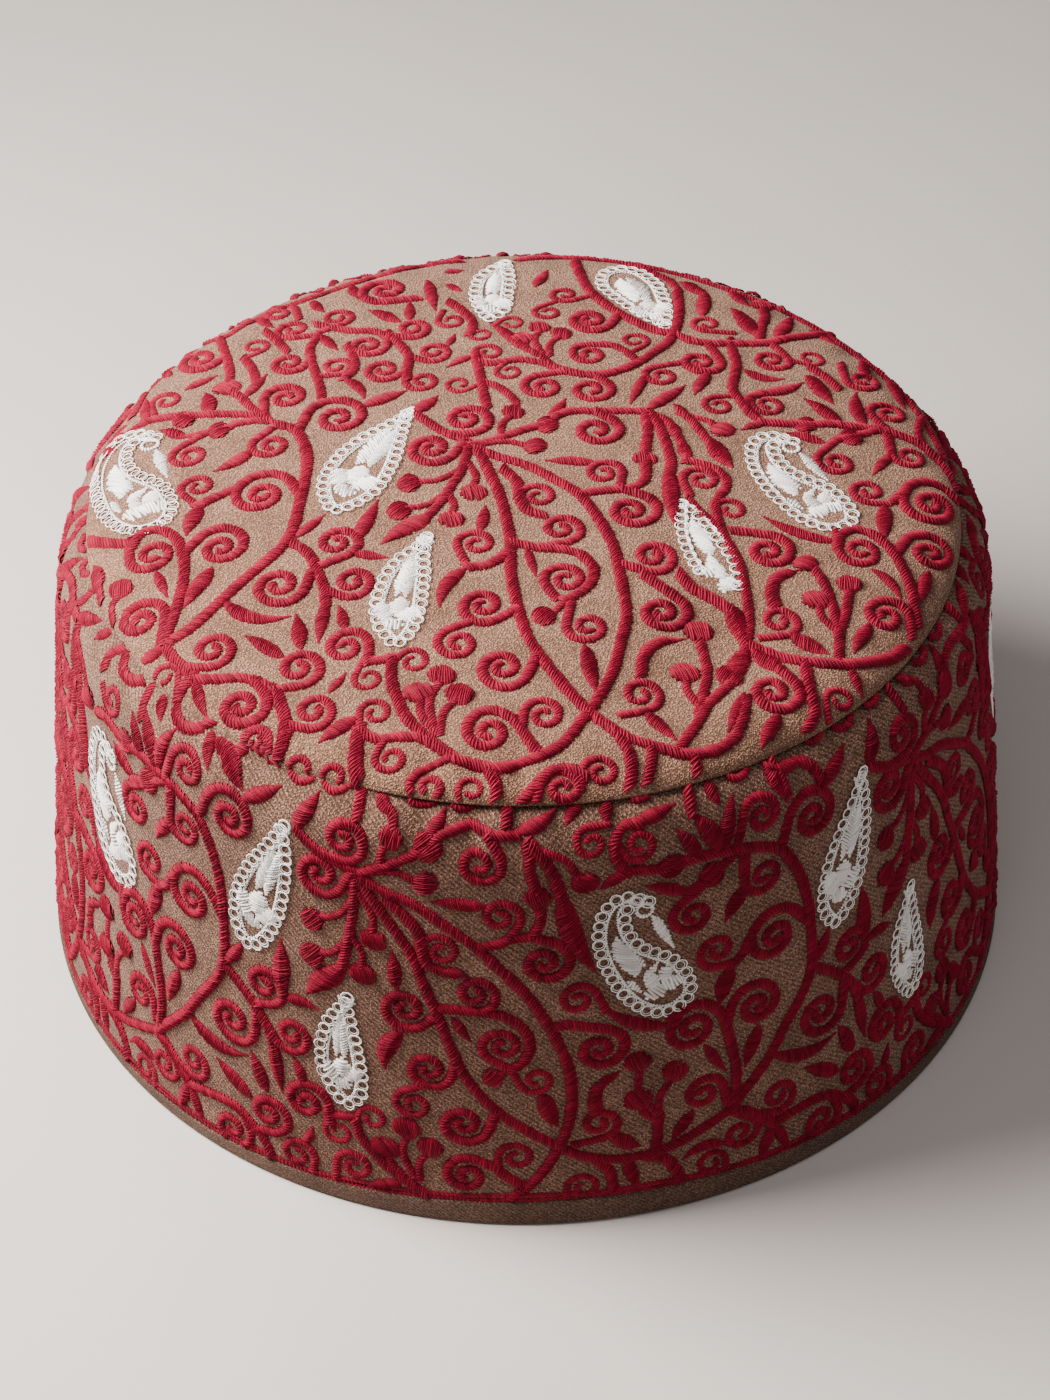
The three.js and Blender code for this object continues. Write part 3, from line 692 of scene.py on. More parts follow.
WALL_SCROLLS = """
-37.5 81.8 -33.9 86 4.5 1.8, -31.8 79.6 -38.2 77.3 4.7 -1.7, -18.9 63.5 -15.4 65 3.5 -1.3
-15.5 52 -9.4 56 4.1 1.7, -3 38.5 -4.4 44 3.9 -1.5, -16.3 50 -21.9 51 4.6 -2
-3.4 68.8 -4.8 73.6 3.7 1.6, .5 69.4 3 63.4 4.8 -1.9, -7 90.6 -8.6 84.9 4.2 -1.4
15.3 91.5 11.9 88.6 3 1.9, 16.4 88 20.4 87.4 3.2 1.6, 33 76 30.3 69.4 4 2, 40.8 79.8 44.4 73.6 3.8 2
39 81.6 44.4 86.5 4 -1.9, 48.5 79 55.3 81.6 5.6 -1.75, 53.9 58.5 46.3 58.6 6 2
38 56 34.9 59.9 3.7 -1.9, 36.4 42 42.4 44.2 5.3 -1.9, 25.8 48 29.8 43.4 4.2 1.4
36.3 23 31.8 26.8 3.9 2, 8 19.6 12.3 24.2 3.7 2, 7 48.8 12.6 42.2 4.9 -2, 14 51.2 9 54.2 3.5 1.6
-3.2 38.6 1.4 36 3.1 1.8, -13 39 -17.7 37.5 4.3 -2, -19.5 33 -20.4 28.6 3.5 1.9
-5.6 28.4 -11.5 25.2 4.6 -2, -5.3 13.5 -2.2 17 3.3 -1.7, -5.6 14.4 -10.9 12.3 4.3 1.75
6.5 6 9.7 8.7 3 -1.2, 36 6.5 33 9 2.9 1.6, 37.5 20.3 38.8 14.6 3.7 -1.8, 42.5 17.8 46.6 20.4 3.8 1.8
-54.6 14.4 -57 9.6 4.1 -1.8, -52.5 11.8 -49 17.2 4.4 1.9, -51.2 42 -56.8 36 5.1 -1.6
-51.5 42.2 -49.8 47.4 4.3 1.9, -49.3 38.6 -44 38.3 4.1 1.9, -36.2 20 -41 23.4 4.5 2
-36.8 22 -34.6 18.4 2.7 1.5, -31.4 22 -28.2 23.3 2.7 -1.5, -35.2 5.5 -31.6 10.6 3.5 -1.5
-40 5 -42.9 9.8 3.5 1.9, -55.5 97.5 -52.5 97.5 3 1, -48.2 97 -45 97 3.2 1, -39.7 97.5 -36.7 97.5 3 1
-22.7 97 -19.5 97 3.2 1, -14.4 97.2 -11.2 97.2 3.2 1, 19.3 98 22.3 98 3 1, 39.1 97.5 42.3 97.5 3.2 1
"""
WALL_LEAVES = """
17 81.7 13.4 79.2 2 0, -43.3 85 -40 93 2.8 0, -1.5 90.3 5.5 95 2.4 0, -17.8 88.5 -15.4 94.5 2.2 0
-33.6 58 -40.8 49 4 0, -13.4 50 -10.3 45 1.8 0, -23.5 55 -24.5 63.5 2.4 0, -22.8 46 -25.8 36 3.2 -1
-7 76 -17 76 2.4 0, 6 79 12 60.8 3.6 -1, 20 91.1 28 93.3 2.2 0, 29 75.3 21.7 78.2 2.4 0
40.5 73 36.5 66 2.6 0, 32 82.3 27.6 88.8 2.4 0, 37 82 31 91 3.2 0, 37.2 82 39.5 92.2 2.6 1
-55 86.3 -47.8 91.5 2.6 0, -65.3 95.5 -64 88.5 2.2 0, 37 55.5 35.2 47.5 3.2 0, 42.8 39.5 40 30.5 2.6 0
26 45.3 13.2 52.2 2.4 1.5, 29.6 23.5 25.8 17.2 2.4 0, 32 38.5 36 31 1.8 0, 14.5 20.5 19.8 17.3 3 0
12.6 33.8 16.2 36.3 1.8 0, 2 32.5 5 24.5 3.2 0, 17 14.8 19.5 7 2.4 0, 36 13 27.8 11.8 2.2 -1.5
45.2 14 43.1 6 2.4 0, 45.6 14.2 49.2 6 2 0, -52.6 19.2 -60.5 24.2 2.8 0, -49.2 22.3 -52.6 30 2.8 0
-67.3 31 -53.5 28.8 2.6 -2, -48.2 36 -46 23.5 2.4 0, -58.3 48 -54.5 54.6 2.4 0
-45.9 46.5 -46.2 59 3.2 0, -45.2 45.8 -38.8 46 2.2 .8, -41.3 28 -43.5 32.8 2 0
-22.5 9.2 -29.5 6.5 2.2 0, -41.2 13 -39.8 17.5 1.8 0, -28.5 95.3 -25.5 92.5 2 0, 10 96 7.5 92 2 0
15.3 96 15 91.5 2 0, 35 96 36.5 91.5 2 0
"""
WALL_BUDS = """
23 81.6 26.4 81.7 2.4, -20 85.8 -18 87.2 2.7, -26.5 82 -24.7 88.3 2.1, -30 79.8 -18.4 80 2.3
-31.8 73 -39.7 66.2 2.3, -32.8 64 -39.8 58.2 2.4, -32.2 65.5 -29.8 57 2.4, -30.5 75 -27.8 65.2 2.3
2.4 74 2 78 2.3, 1.5 88.5 10.5 80.8 2.3, 36.8 79.3 34 77.6 2.5, 23.3 24 19.6 38 2.4
23.5 22 26.4 34.1 2.4, 22.8 23 19.6 28.9 2.5, -3.5 38.8 -6.3 36.6 2, -22.5 11 -25.7 16.9 2.6
-20.6 11 -21.8 22.5 2.5, -19.5 10 -17.6 18.4 2.3
"""
print("Wall chart has", WALL_STEMS.count(":"), "stems and is worked", WALL_REPEATS, "times round the cap")

# %% Chart over the edge at the front left
EDGE_STEMS = """
2: -70.7 5.8, -70.3 3.8, -70.1 .6, -68.6 -1.8, -65.5 -2.6, -62.8 -1, -61.3 1.2
1.6: -77.1 -.4, -76.5 -3.6, -75.4 -6.8
1.9: -86.8 -.4, -85.1 -2.6, -82.1 -2.8, -79.5 -1.2
2: -46.2 5.5, -45.7 2, -45.9 .2, -47.3 -.6, -49.7 0
1.8: -89.4 -5.6, -90.2 -2.8, -88.1 .4
"""
EDGE_SCROLLS = "-53.5 -.8 -50.5 1.4 2.5 -1.1, -38.2 -.8 -40.9 .4 2.9 -1.9, -31.2 .2 -34.4 .9 2.8 -1.8"
EDGE_LEAVES = """
-69.6 5.4 -62.3 1.2 1.9 0, -73.7 -.4 -71.1 -4.4 2.2 0, -56.7 -1 -50.5 -7.6 3.4 0
-58.7 -1.4 -54 -3.2 2.6 0, -52.7 .6 -53.7 -3 2.6 0, -60.4 -.2 -58 -7 2.2 0
"""
# Directions in degrees between which these motifs take the place of the wall's own top rows, and how deep
EDGE_TAKES = [(-66, -34, 8.0), (-34, -21, 3.5)]
print("Motifs run over the seam from", EDGE_TAKES[0][0], "to", EDGE_TAKES[-1][1], "degrees")

# %% [markdown]
# ## From chart to thread lines
# A thread line is a table with one row for each chart point: x, y, width, and how far the stitches lean
# there. Stems become smooth curves through their points, scrolls leave the stem along a tangent and wind
# in, and leaves and bud heads are short lines whose width swells and shrinks, so one kind of stitch can
# cover all of them.

# %% Smooth lines through chart points
LINE_STEP = 0.45


def rows(text):
    parts = ",".join(text.strip().splitlines()).split(",") if text else []
    return [[float(number) for number in part.split()] for part in parts]


def smooth_line(points, closed=False):
    points = np.asarray(points, float)
    if closed:
        padded = np.vstack([points[-1], points, points[:2]])
    else:
        padded = np.vstack([2 * points[0] - points[1], points, 2 * points[-1] - points[-2]])
    pieces = []
    for a, b, c, d in zip(padded, padded[1:], padded[2:], padded[3:]):
        t = np.linspace(0, 1, max(3, int(np.linalg.norm(c - b) / LINE_STEP)))[:-1, None]
        pieces.append(0.5 * (2 * b + (c - a) * t + (2 * a - 5 * b + 4 * c - d) * t**2
                             + (3 * b - a - 3 * c + d) * t**3))
    return np.vstack(pieces + [padded[-2:-1]])


def thread(line, width, lean):
    return np.column_stack([line, np.broadcast_to(width, len(line)), np.full(len(line), lean)])


def line_length(lines):
    return sum(np.linalg.norm(np.diff(line[:, :2], axis=0), axis=1).sum() for line in lines)


print("Lines have a point about every", LINE_STEP, "mm")

# %% Stems and scrolls
STEM_LEAN, SCROLL_LEAN, LEAF_LEAN, PAD_LEAN = np.radians([36, 26, 22, 8])
SCROLL_WIDTH = 2.05
SCROLL_WIDEST_SHARE = 0.45
SCROLL_END_SHARE = 0.8
SCROLL_EYE = 0.95
SCROLL_TIGHTENING = 1.0
SCROLL_EVEN_TURN = 0.15


def stem(width, points):
    return thread(smooth_line(points), width, STEM_LEAN)


def scroll(from_x, from_y, x, y, radius, turns):
    start, middle = np.array([from_x, from_y]), np.array([x, y])
    away = np.linalg.norm(start - middle)
    hand = math.copysign(1, turns)
    angle = math.atan2(from_y - y, from_x - x) + hand * math.acos(min(1, radius / away))
    winds = min(abs(turns), math.log(radius / SCROLL_EYE) / SCROLL_TIGHTENING)
    wound = np.linspace(0, winds, max(12, int(winds * 2 * math.pi * radius / LINE_STEP)))
    turn = angle + hand * wound * 2 * math.pi
    reach = min(radius, away) * np.exp(-SCROLL_TIGHTENING * np.maximum(0, wound - SCROLL_EVEN_TURN))
    coil = middle + reach[:, None] * np.stack([np.cos(turn), np.sin(turn)], 1)
    lead = start + np.linspace(0, 1, max(2, int(away / LINE_STEP)))[:-1, None] * (coil[0] - start)
    line = np.vstack([lead, coil])
    width = np.full(len(line), min(SCROLL_WIDTH, SCROLL_WIDEST_SHARE * radius))
    width[len(lead):] *= np.linspace(1.0, SCROLL_END_SHARE, len(coil))
    return thread(line, width, SCROLL_LEAN)


print("A scroll of 4 mm is", round(line_length([scroll(0, 0, 4, 4, 4, 2)]), 1), "mm long")

# %% Leaves and buds
LEAF_LEAST = 0.5
LEAF_FULLNESS = 1.1
LEAF_SHAPE = 0.8
STALK_WIDTH = 1.4
STALK_BEND = 0.12
STALK_INTO_HEAD = 0.6
PAD_STEPS = 14
PAD_END = 0.97


def to_the_left(span):
    return np.array([-span[1], span[0]]) / np.linalg.norm(span)


def leaf(base_x, base_y, tip_x, tip_y, widest, bend, lean=LEAF_LEAN):
    base, tip = np.array([base_x, base_y]), np.array([tip_x, tip_y])
    span = tip - base
    t = np.linspace(0, 1, max(8, int(np.linalg.norm(span) / LINE_STEP)))
    line = base + t[:, None] * span + (4 * t * (1 - t))[:, None] * bend * to_the_left(span)
    swell = np.sin(math.pi * t**LEAF_SHAPE) ** LEAF_SHAPE
    return thread(line, np.maximum(LEAF_LEAST, widest * LEAF_FULLNESS * swell), lean)


def bud(stem_x, stem_y, head_x, head_y, radius):
    foot, head = np.array([stem_x, stem_y]), np.array([head_x, head_y])
    span = head - foot
    reach = np.linalg.norm(span)
    left = to_the_left(span)
    t = np.linspace(-PAD_END, PAD_END, PAD_STEPS)
    pad = thread(head + (t * radius)[:, None] * left, 2 * radius * np.sqrt(1 - t**2), PAD_LEAN)
    if reach < radius + 1:
        return [pad], []
    bent = foot + 0.5 * span + STALK_BEND * reach * left
    top = head - STALK_INTO_HEAD * radius * span / reach
    return [pad], [stem(STALK_WIDTH, [foot, bent, top])]


print("A leaf of 8 mm has", len(leaf(0, 0, 8, 0, 2, 0)), "points")

# %% [markdown]
# The crown's chart was read as if the dome ran straight down to the seam, so each of its points is slid
# along the line of sight until it meets the rolled edge. The thread fluffs out a little when it is worked,
# so the lines are made fuller than they were charted.

# %% Thread lines of the whole cap
CHART_RIM = 94.0
SLIDE_STEPS = 14
CROWN_FULLNESS = 1.12
WALL_FULLNESS, WALL_PAD_FULLNESS = 1.12, 1.16
EDGE_FULLNESS, EDGE_PAD_FULLNESS = 1.2, 1.15


def thread_lines(stems, scrolls, leaves, buds):
    cords, pads = [], [leaf(*row) for row in rows(leaves)]
    for row in stems.strip().replace(",\n", ",").splitlines():
        width, points = row.split(":")
        cords.append(stem(float(width), rows(points)))
    cords += [scroll(*row) for row in rows(scrolls)]
    for row in rows(buds):
        head, stalk = bud(*row)
        pads += head
        cords += stalk
    return cords, pads


def slid(lines):
    moved = []
    for line in lines:
        x, y = line[:, 0], line[:, 1]
        chart_height = CHART_RIM + DOME_RISE * (1 - (np.hypot(x, y) / SEAM_RADIUS) ** DOME_POWER)
        met = y
        for attempt in range(SLIDE_STEPS):
            met = 0.5 * met + 0.5 * (y - (crown_surface(x, met) - chart_height) / math.tan(CAMERA_PITCH))
        moved.append(np.column_stack([x, met, line[:, 2:]]))
    return moved


def fuller(lines, share):
    return [line * np.array([1, 1, share, 1]) for line in lines]


crown_cords, crown_pads = thread_lines(CROWN_STEMS, CROWN_SCROLLS, CROWN_LEAVES, CROWN_BUDS)
edge_cords, edge_pads = thread_lines(EDGE_STEMS, EDGE_SCROLLS, EDGE_LEAVES, "")
wall_cords, wall_pads = thread_lines(WALL_STEMS, WALL_SCROLLS, WALL_LEAVES, WALL_BUDS)
crown_cords, crown_pads = fuller(slid(crown_cords), CROWN_FULLNESS), fuller(slid(crown_pads), CROWN_FULLNESS)
wall_cords, wall_pads = fuller(wall_cords, WALL_FULLNESS), fuller(wall_pads, WALL_PAD_FULLNESS)
edge_cords, edge_pads = fuller(edge_cords, EDGE_FULLNESS), fuller(edge_pads, EDGE_PAD_FULLNESS)
print("Vines on the crown:", round(line_length(crown_cords)), "mm")
print("Vines in one repeat of the wall:", round(line_length(wall_cords)), "mm")

# %% [markdown]
# ## Node workbench
# Geometry Nodes and shader trees are both built in code. One small class wraps a socket, so arithmetic
# reads as arithmetic, and its `node` method adds any other node from its type, its settings and its inputs.


# %% Sockets that do arithmetic
class Sock:
    def __init__(self, tree, socket=None):
        self.tree, self.socket = tree, socket

    def node(self, kind, settings=None, inputs=None, out=0):
        made = self.tree.nodes.new(kind)
        for name, value in (settings or {}).items():
            setattr(made, name, value)
        for key, value in (inputs or {}).items():
            slot = made.inputs[key] if isinstance(key, int) else self.find(made.inputs, key)
            if isinstance(value, Sock):
                self.tree.links.new(value.socket, slot)
            else:
                slot.default_value = value
        if not made.outputs:
            return None
        return Sock(self.tree, made.outputs[out] if isinstance(out, int) else self.find(made.outputs, out))

    @staticmethod
    def find(sockets, key):
        exact = [s for s in sockets if s.identifier == key]
        return (exact or [s for s in sockets if s.name == key])[0]

    def math(self, operation, first, second=0.0):
        return self.node("ShaderNodeMath", {"operation": operation}, {0: first, 1: second})

    def __add__(self, other):
        return self.math("ADD", self, other)

    def __sub__(self, other):
        return self.math("SUBTRACT", self, other)

    def __rsub__(self, other):
        return self.math("SUBTRACT", other, self)

    def __mul__(self, other):
        return self.math("MULTIPLY", self, other)

    def __truediv__(self, other):
        return self.math("DIVIDE", self, other)

    def __pow__(self, other):
        return self.math("POWER", self, other)

    __radd__ = __add__
    __rmul__ = __mul__


print("Sockets add, subtract, multiply, divide and take powers")

# %% [markdown]
# Stitches and lace rings are set on thread lines in the same way, so the two trees share their start and
# their end. Each stitch lies along its line with its back to the cloth. It keeps a tone of its own, for the
# finish. Realize Instances and Set Material come last, so that the result can be turned into a plain mesh.


# %% Start and end of a stitch tree
def stitch_tree(name, sizes):
    tree = bpy.data.node_groups.new(name, "GeometryNodeTree")
    tree.interface.new_socket("Geometry", in_out="INPUT", socket_type="NodeSocketGeometry")
    for label in sizes:
        tree.interface.new_socket(label, in_out="INPUT", socket_type="NodeSocketFloat")
    tree.interface.new_socket("Seed", in_out="INPUT", socket_type="NodeSocketInt")
    tree.interface.new_socket("Thread", in_out="INPUT", socket_type="NodeSocketMaterial")
    tree.interface.new_socket("Geometry", in_out="OUTPUT", socket_type="NodeSocketGeometry")
    entry = tree.nodes.new("NodeGroupInput")
    return Sock(tree), {socket.name: Sock(tree, socket) for socket in entry.outputs if socket.name}


def line_steps(bench, size, spacing):
    line = bench.node("GeometryNodeMeshToCurve", inputs={"Mesh": size["Geometry"]})
    return bench.node("GeometryNodeResampleCurve", {"mode": "LENGTH"},
                      {"Curve": line, "Length": size[spacing]})


def kept_on_line(bench, name, kind="FLOAT"):
    return bench.node("GeometryNodeInputNamedAttribute", {"data_type": kind}, {"Name": name})


def lying_on_cloth(bench):
    return bench.node("FunctionNodeAxesToRotation", {"primary_axis": "X", "secondary_axis": "Z"}, {
        "Primary Axis": bench.node("GeometryNodeInputTangent"),
        "Secondary Axis": kept_on_line(bench, "off_cloth", "FLOAT_VECTOR")})


def chance(bench, size, least, most, offset):
    return bench.node("FunctionNodeRandomValue", {"data_type": "FLOAT"},
                      {"Min_001": least, "Max_001": most, "Seed": size["Seed"] + offset}, out="Value_001")


def close_tree(bench, size, stitches):
    toned = bench.node("GeometryNodeStoreNamedAttribute", {"data_type": "FLOAT", "domain": "INSTANCE"},
                       {"Geometry": stitches, "Name": "tone", "Value": chance(bench, size, 0.0, 1.0, 3)})
    real = bench.node("GeometryNodeRealizeInstances", inputs={"Geometry": toned})
    smooth = bench.node("GeometryNodeSetShadeSmooth", inputs={"Geometry": real})
    finished = bench.node("GeometryNodeSetMaterial", inputs={"Geometry": smooth, "Material": size["Thread"]})
    bench.node("NodeGroupOutput", None, {"Geometry": finished})
    return bench.tree


print("Stitch trees share a start and an end")

# %% [markdown]
# ## Satin stitch
# A satin-stitched cord is hundreds of short threads laid side by side across a line, each one a low arch.
# The tree cuts every thread line into even steps and sets one arch on each step, turned to lie across the
# line and leaning a little, as hand stitches do. The arch has sixteen triangles, because there are tens of
# thousands.

# %% Satin stitch tree
ARCH_SUNK = 0.12
LEAN_CHANCE = 0.16
HEIGHT_CHANCE = (0.8, 1.12)


def satin_stitch_tree():
    bench, size = stitch_tree("satin_stitch", [
        "Pitch", "Overlap", "Rise", "Greatest height", "Groove", "Ragged"])
    flat = bench.node("GeometryNodeMeshGrid", inputs={
        "Size X": 1.0, "Size Y": 1.0, "Vertices X": 3, "Vertices Y": 5})
    place = bench.node("GeometryNodeInputPosition")
    x = bench.node("ShaderNodeSeparateXYZ", inputs={"Vector": place}, out="X")
    y = bench.node("ShaderNodeSeparateXYZ", inputs={"Vector": place}, out="Y")
    groove = 1 - size["Groove"] * (2 * x) ** 2
    arch = bench.math("COSINE", math.pi * y) * groove - ARCH_SUNK
    across = 0.5 * bench.math("SINE", math.pi * y)
    arched_place = bench.node("ShaderNodeCombineXYZ", inputs={"X": x, "Y": across, "Z": arch})
    # The place along each stitch is kept for the finish, which turns it into strand ridges and painted shade
    # in their grooves.
    stranded = bench.node("GeometryNodeStoreNamedAttribute", {"data_type": "FLOAT", "domain": "POINT"},
                          {"Geometry": flat, "Name": "strand", "Value": x})
    arched = bench.node("GeometryNodeSetPosition", inputs={"Geometry": stranded, "Position": arched_place})

    width, slope = kept_on_line(bench, "width"), kept_on_line(bench, "lean")
    lean = bench.node("FunctionNodeAxisAngleToRotation", inputs={
        "Axis": (0.0, 0.0, 1.0), "Angle": slope + chance(bench, size, -LEAN_CHANCE, LEAN_CHANCE, 0)})
    leaning = bench.node("FunctionNodeRotateRotation", {"rotation_space": "LOCAL"},
                         {"Rotation": lying_on_cloth(bench), "Rotate By": lean})
    low_arch = bench.math("MINIMUM", width * size["Rise"], size["Greatest height"])
    slant = bench.math("COSINE", slope)
    scale = bench.node("ShaderNodeCombineXYZ", inputs={
        "X": size["Pitch"] * size["Overlap"] * slant,
        "Y": width / slant * (1 + size["Ragged"] * chance(bench, size, -1.0, 1.0, 2)),
        "Z": low_arch * chance(bench, size, *HEIGHT_CHANCE, 1)})
    return close_tree(bench, size, bench.node("GeometryNodeInstanceOnPoints", inputs={
        "Points": line_steps(bench, size, "Pitch"), "Instance": arched, "Rotation": leaning, "Scale": scale}))


SATIN_STITCH = satin_stitch_tree()
print("Satin stitch tree has", len(SATIN_STITCH.nodes), "nodes")

# %% [markdown]
# Thread lines become a mesh of edges that carries width, lean and the direction off the cloth as
# attributes. A tree is worked along them by a modifier, whose inputs are set by their identifiers, and the
# evaluated result is copied to a plain mesh, because only plain meshes ride on the frame.


# %% Work a tree along thread lines
def clipped(lines, keep):
    kept = []
    for line in lines:
        edges = np.flatnonzero(np.diff(np.concatenate([[0], keep(line).astype(int), [0]])))
        kept += [line[a:b] for a, b in zip(edges[::2], edges[1::2]) if b - a > 2]
    return kept


def laid_lines(name, lines, lay):
    rows_laid = np.vstack(lines)
    places, outward = lay(rows_laid)
    ends = set(np.cumsum([len(line) for line in lines]))
    edges = [(i, i + 1) for i in range(len(rows_laid) - 1) if i + 1 not in ends]
    mesh = bpy.data.meshes.new(name)
    mesh.from_pydata((places * MM).tolist(), edges, [])
    off_cloth = mesh.attributes.new("off_cloth", "FLOAT_VECTOR", "POINT")
    off_cloth.data.foreach_set("vector", outward.astype(np.float32).ravel())
    for label, values in (("width", rows_laid[:, 2] * MM), ("lean", rows_laid[:, 3])):
        mesh.attributes.new(label, "FLOAT", "POINT").data.foreach_set("value", values.astype(np.float32))
    source = bpy.data.objects.new(name, mesh)
    bpy.context.scene.collection.objects.link(source)
    return source


def worked(name, lines, lay, tree, sizes):
    source = laid_lines(name + "_lines", lines, lay)
    modifier = source.modifiers.new(tree.name, "NODES")
    modifier.node_group = tree
    for item in tree.interface.items_tree:
        if item.in_out == "INPUT" and item.name in sizes:
            modifier[item.identifier] = sizes[item.name]
    evaluated = source.evaluated_get(bpy.context.evaluated_depsgraph_get())
    mesh = bpy.data.meshes.new_from_object(evaluated)
    mesh.name = name
    piece = bpy.data.objects.new(name, mesh)
    bpy.context.scene.collection.objects.link(piece)
    bpy.data.objects.remove(source)
    print(name, sum(len(polygon.vertices) - 2 for polygon in mesh.polygons), "triangles")
    return piece


print("Ready to stitch")

# %% [markdown]
# ## Finishes
# The wool is heathered: fibres of several tans are spun together, and a pebbly weave breaks the light. Its
# colour comes from noise at the scale of the yarn, and its bump from cells as large as one loop of the
# weave. Between the loop tops the colour is darkened towards a dark gap colour, which is painted shade in
# the hollows of the weave. Colours are written as they show on a screen, and made linear for the shader.


# %% Shader workbench
def linear(red, green, blue):
    def channel(value):
        share = value / 255
        return share / 12.92 if share <= 0.04045 else ((share + 0.055) / 1.055) ** 2.4
    return (channel(red), channel(green), channel(blue), 1.0)


def new_finish(name):
    material = bpy.data.materials.new(name)
    material.use_nodes = True
    material.node_tree.nodes.clear()
    return material, Sock(material.node_tree)


def blend_colours(bench, share, first, second):
    return bench.node("ShaderNodeMix", {"data_type": "RGBA"},
                      {"Factor_Float": share, "A_Color": first, "B_Color": second}, out="Result_Color")


def noise(bench, place, size, detail=2.0, roughness=0.5):
    return bench.node("ShaderNodeTexNoise", None, {
        "Vector": place, "Scale": 1 / (size * MM), "Detail": detail, "Roughness": roughness}, out="Fac")


def spread(bench, value, low, high):
    return bench.node("ShaderNodeMapRange", None, {"Value": value, "From Min": low, "From Max": high})


def close_finish(bench, colour, roughness, height, relief, sheen, sheen_tint):
    bump = bench.node("ShaderNodeBump", None, {"Strength": 1.0, "Distance": relief * MM, "Height": height})
    surface = bench.node("ShaderNodeBsdfPrincipled", None, {
        "Base Color": colour, "Roughness": roughness, "Normal": bump,
        "Sheen Weight": sheen, "Sheen Roughness": 0.5, "Sheen Tint": sheen_tint, "Specular IOR Level": 0.2})
    bench.node("ShaderNodeOutputMaterial", None, {"Surface": surface})


print("Shader workbench ready")

# %% [markdown]
# The crown's cloth is pebbly all over. The wall's is a twill, so faint diagonal ribs, drawn on the UV map
# that follows the cloth, join the same loops and fibres there, and the colour is painted a little darker in
# the rib valleys as shade. The binding has the ribs too, closer together.

# %% Wool
LOOP_SIZE = 0.42
LOOP_RANDOMNESS = 0.9
LOOP_GAP, LOOP_TOP = 0.6, 0.15
CROWN_FIBRE, BAND_FIBRE = 0.27, 0.3
FIBRE_ROUGHNESS = 0.6
PATCH_SIZE = 9.0
RIB_ALONG, RIB_ACROSS = 0.75, 0.66
RIB_WAVER_SIZE, RIB_WAVER = 2.4, 1.2
WOOL_ROUGHNESS = 0.95
CROWN_RELIEF, BAND_RELIEF = 0.18, 0.2
CROWN_SHEEN, BAND_SHEEN = 0.15, 0.1
WOOL_SHEEN_TINT = (1.0, 0.9, 0.82, 1.0)


def loop_tops(bench, place):
    loops = bench.node("ShaderNodeTexVoronoi", {"feature": "F1"}, {
        "Vector": place, "Scale": 1 / (LOOP_SIZE * MM), "Randomness": LOOP_RANDOMNESS}, out="Distance")
    return spread(bench, loops, LOOP_GAP, LOOP_TOP)


def pebbly_wool(name, pale, deep, gap_shade):
    material, bench = new_finish(name)
    place = bench.node("ShaderNodeTexCoord", out="Object")
    loop_top = loop_tops(bench, place)
    fibre = noise(bench, place, CROWN_FIBRE, 2.0, FIBRE_ROUGHNESS)
    patch = noise(bench, place, PATCH_SIZE, 3.0)
    heather = spread(bench, 0.8 * fibre + 0.2 * patch, 0.42, 0.58)
    colour = blend_colours(bench, heather, deep, pale)
    # Painted shade: the colour darkens towards the dark gap colour between the loop tops.
    colour = blend_colours(bench, 0.7 * (1 - loop_top), colour, gap_shade)
    close_finish(bench, colour, WOOL_ROUGHNESS, loop_top + fibre, CROWN_RELIEF, CROWN_SHEEN, WOOL_SHEEN_TINT)
    return material


def ribbed_wool(name, pale, deep, gap_shade, rib_pitch):
    material, bench = new_finish(name)
    place = bench.node("ShaderNodeUVMap", {"uv_map": "cloth"})
    across = bench.node("ShaderNodeSeparateXYZ", None, {"Vector": place}, out="X")
    upward = bench.node("ShaderNodeSeparateXYZ", None, {"Vector": place}, out="Y")
    waver = noise(bench, place, RIB_WAVER_SIZE)
    phase = (RIB_ALONG * upward + RIB_ACROSS * across) * (2 * math.pi / (rib_pitch * MM)) + RIB_WAVER * waver
    rib = 0.5 + 0.5 * bench.math("SINE", phase)
    loop_top = loop_tops(bench, place)
    fibre = noise(bench, place, BAND_FIBRE, 2.0, FIBRE_ROUGHNESS)
    patch = noise(bench, place, PATCH_SIZE, 3.0)
    heather = spread(bench, 0.75 * fibre + 0.25 * patch, 0.4, 0.6)
    colour = blend_colours(bench, heather, deep, pale)
    # Painted shade: the colour darkens towards the dark gap colour between the loop tops and in the rib
    # valleys.
    colour = blend_colours(bench, 0.66 * (1 - loop_top) + 0.2 * (1 - rib), colour, gap_shade)
    height = 0.7 * loop_top + 0.5 * fibre + 0.6 * rib
    close_finish(bench, colour, WOOL_ROUGHNESS, height, BAND_RELIEF, BAND_SHEEN, WOOL_SHEEN_TINT)
    return material


# The third colour of each wool is painted shade for the hollows of the weave.
CROWN_WOOL = pebbly_wool(
    "crown_wool", linear(210, 166, 143), linear(131, 97, 79), linear(68, 46, 35))
BAND_WOOL = ribbed_wool(
    "band_wool", linear(206, 163, 143), linear(131, 98, 83), linear(62, 44, 36), 0.85)
BINDING_WOOL = ribbed_wool(
    "binding_wool", linear(162, 131, 115), linear(112, 87, 76), linear(68, 51, 44), 0.7)
for cloth_piece, finish in ((crown, CROWN_WOOL), (side_band, BAND_WOOL), (hem_binding, BINDING_WOOL)):
    cloth_piece.data.materials.append(finish)
    print(cloth_piece.name, "is", finish.name)

# %% [markdown]
# Embroidery thread is a few strands lying side by side. The stitch tree keeps the place across each stitch
# and a tone for each stitch as attributes, so the strands follow the stitches and no two stitches look
# quite alike. The colour is darkened in the grooves between strands as painted shade, and the strands also
# make the bump.

# %% Thread
FUZZ_SIZE = 0.25
THREAD_PATCH_SIZE = 12.0
THREAD_SHEEN = 0.12


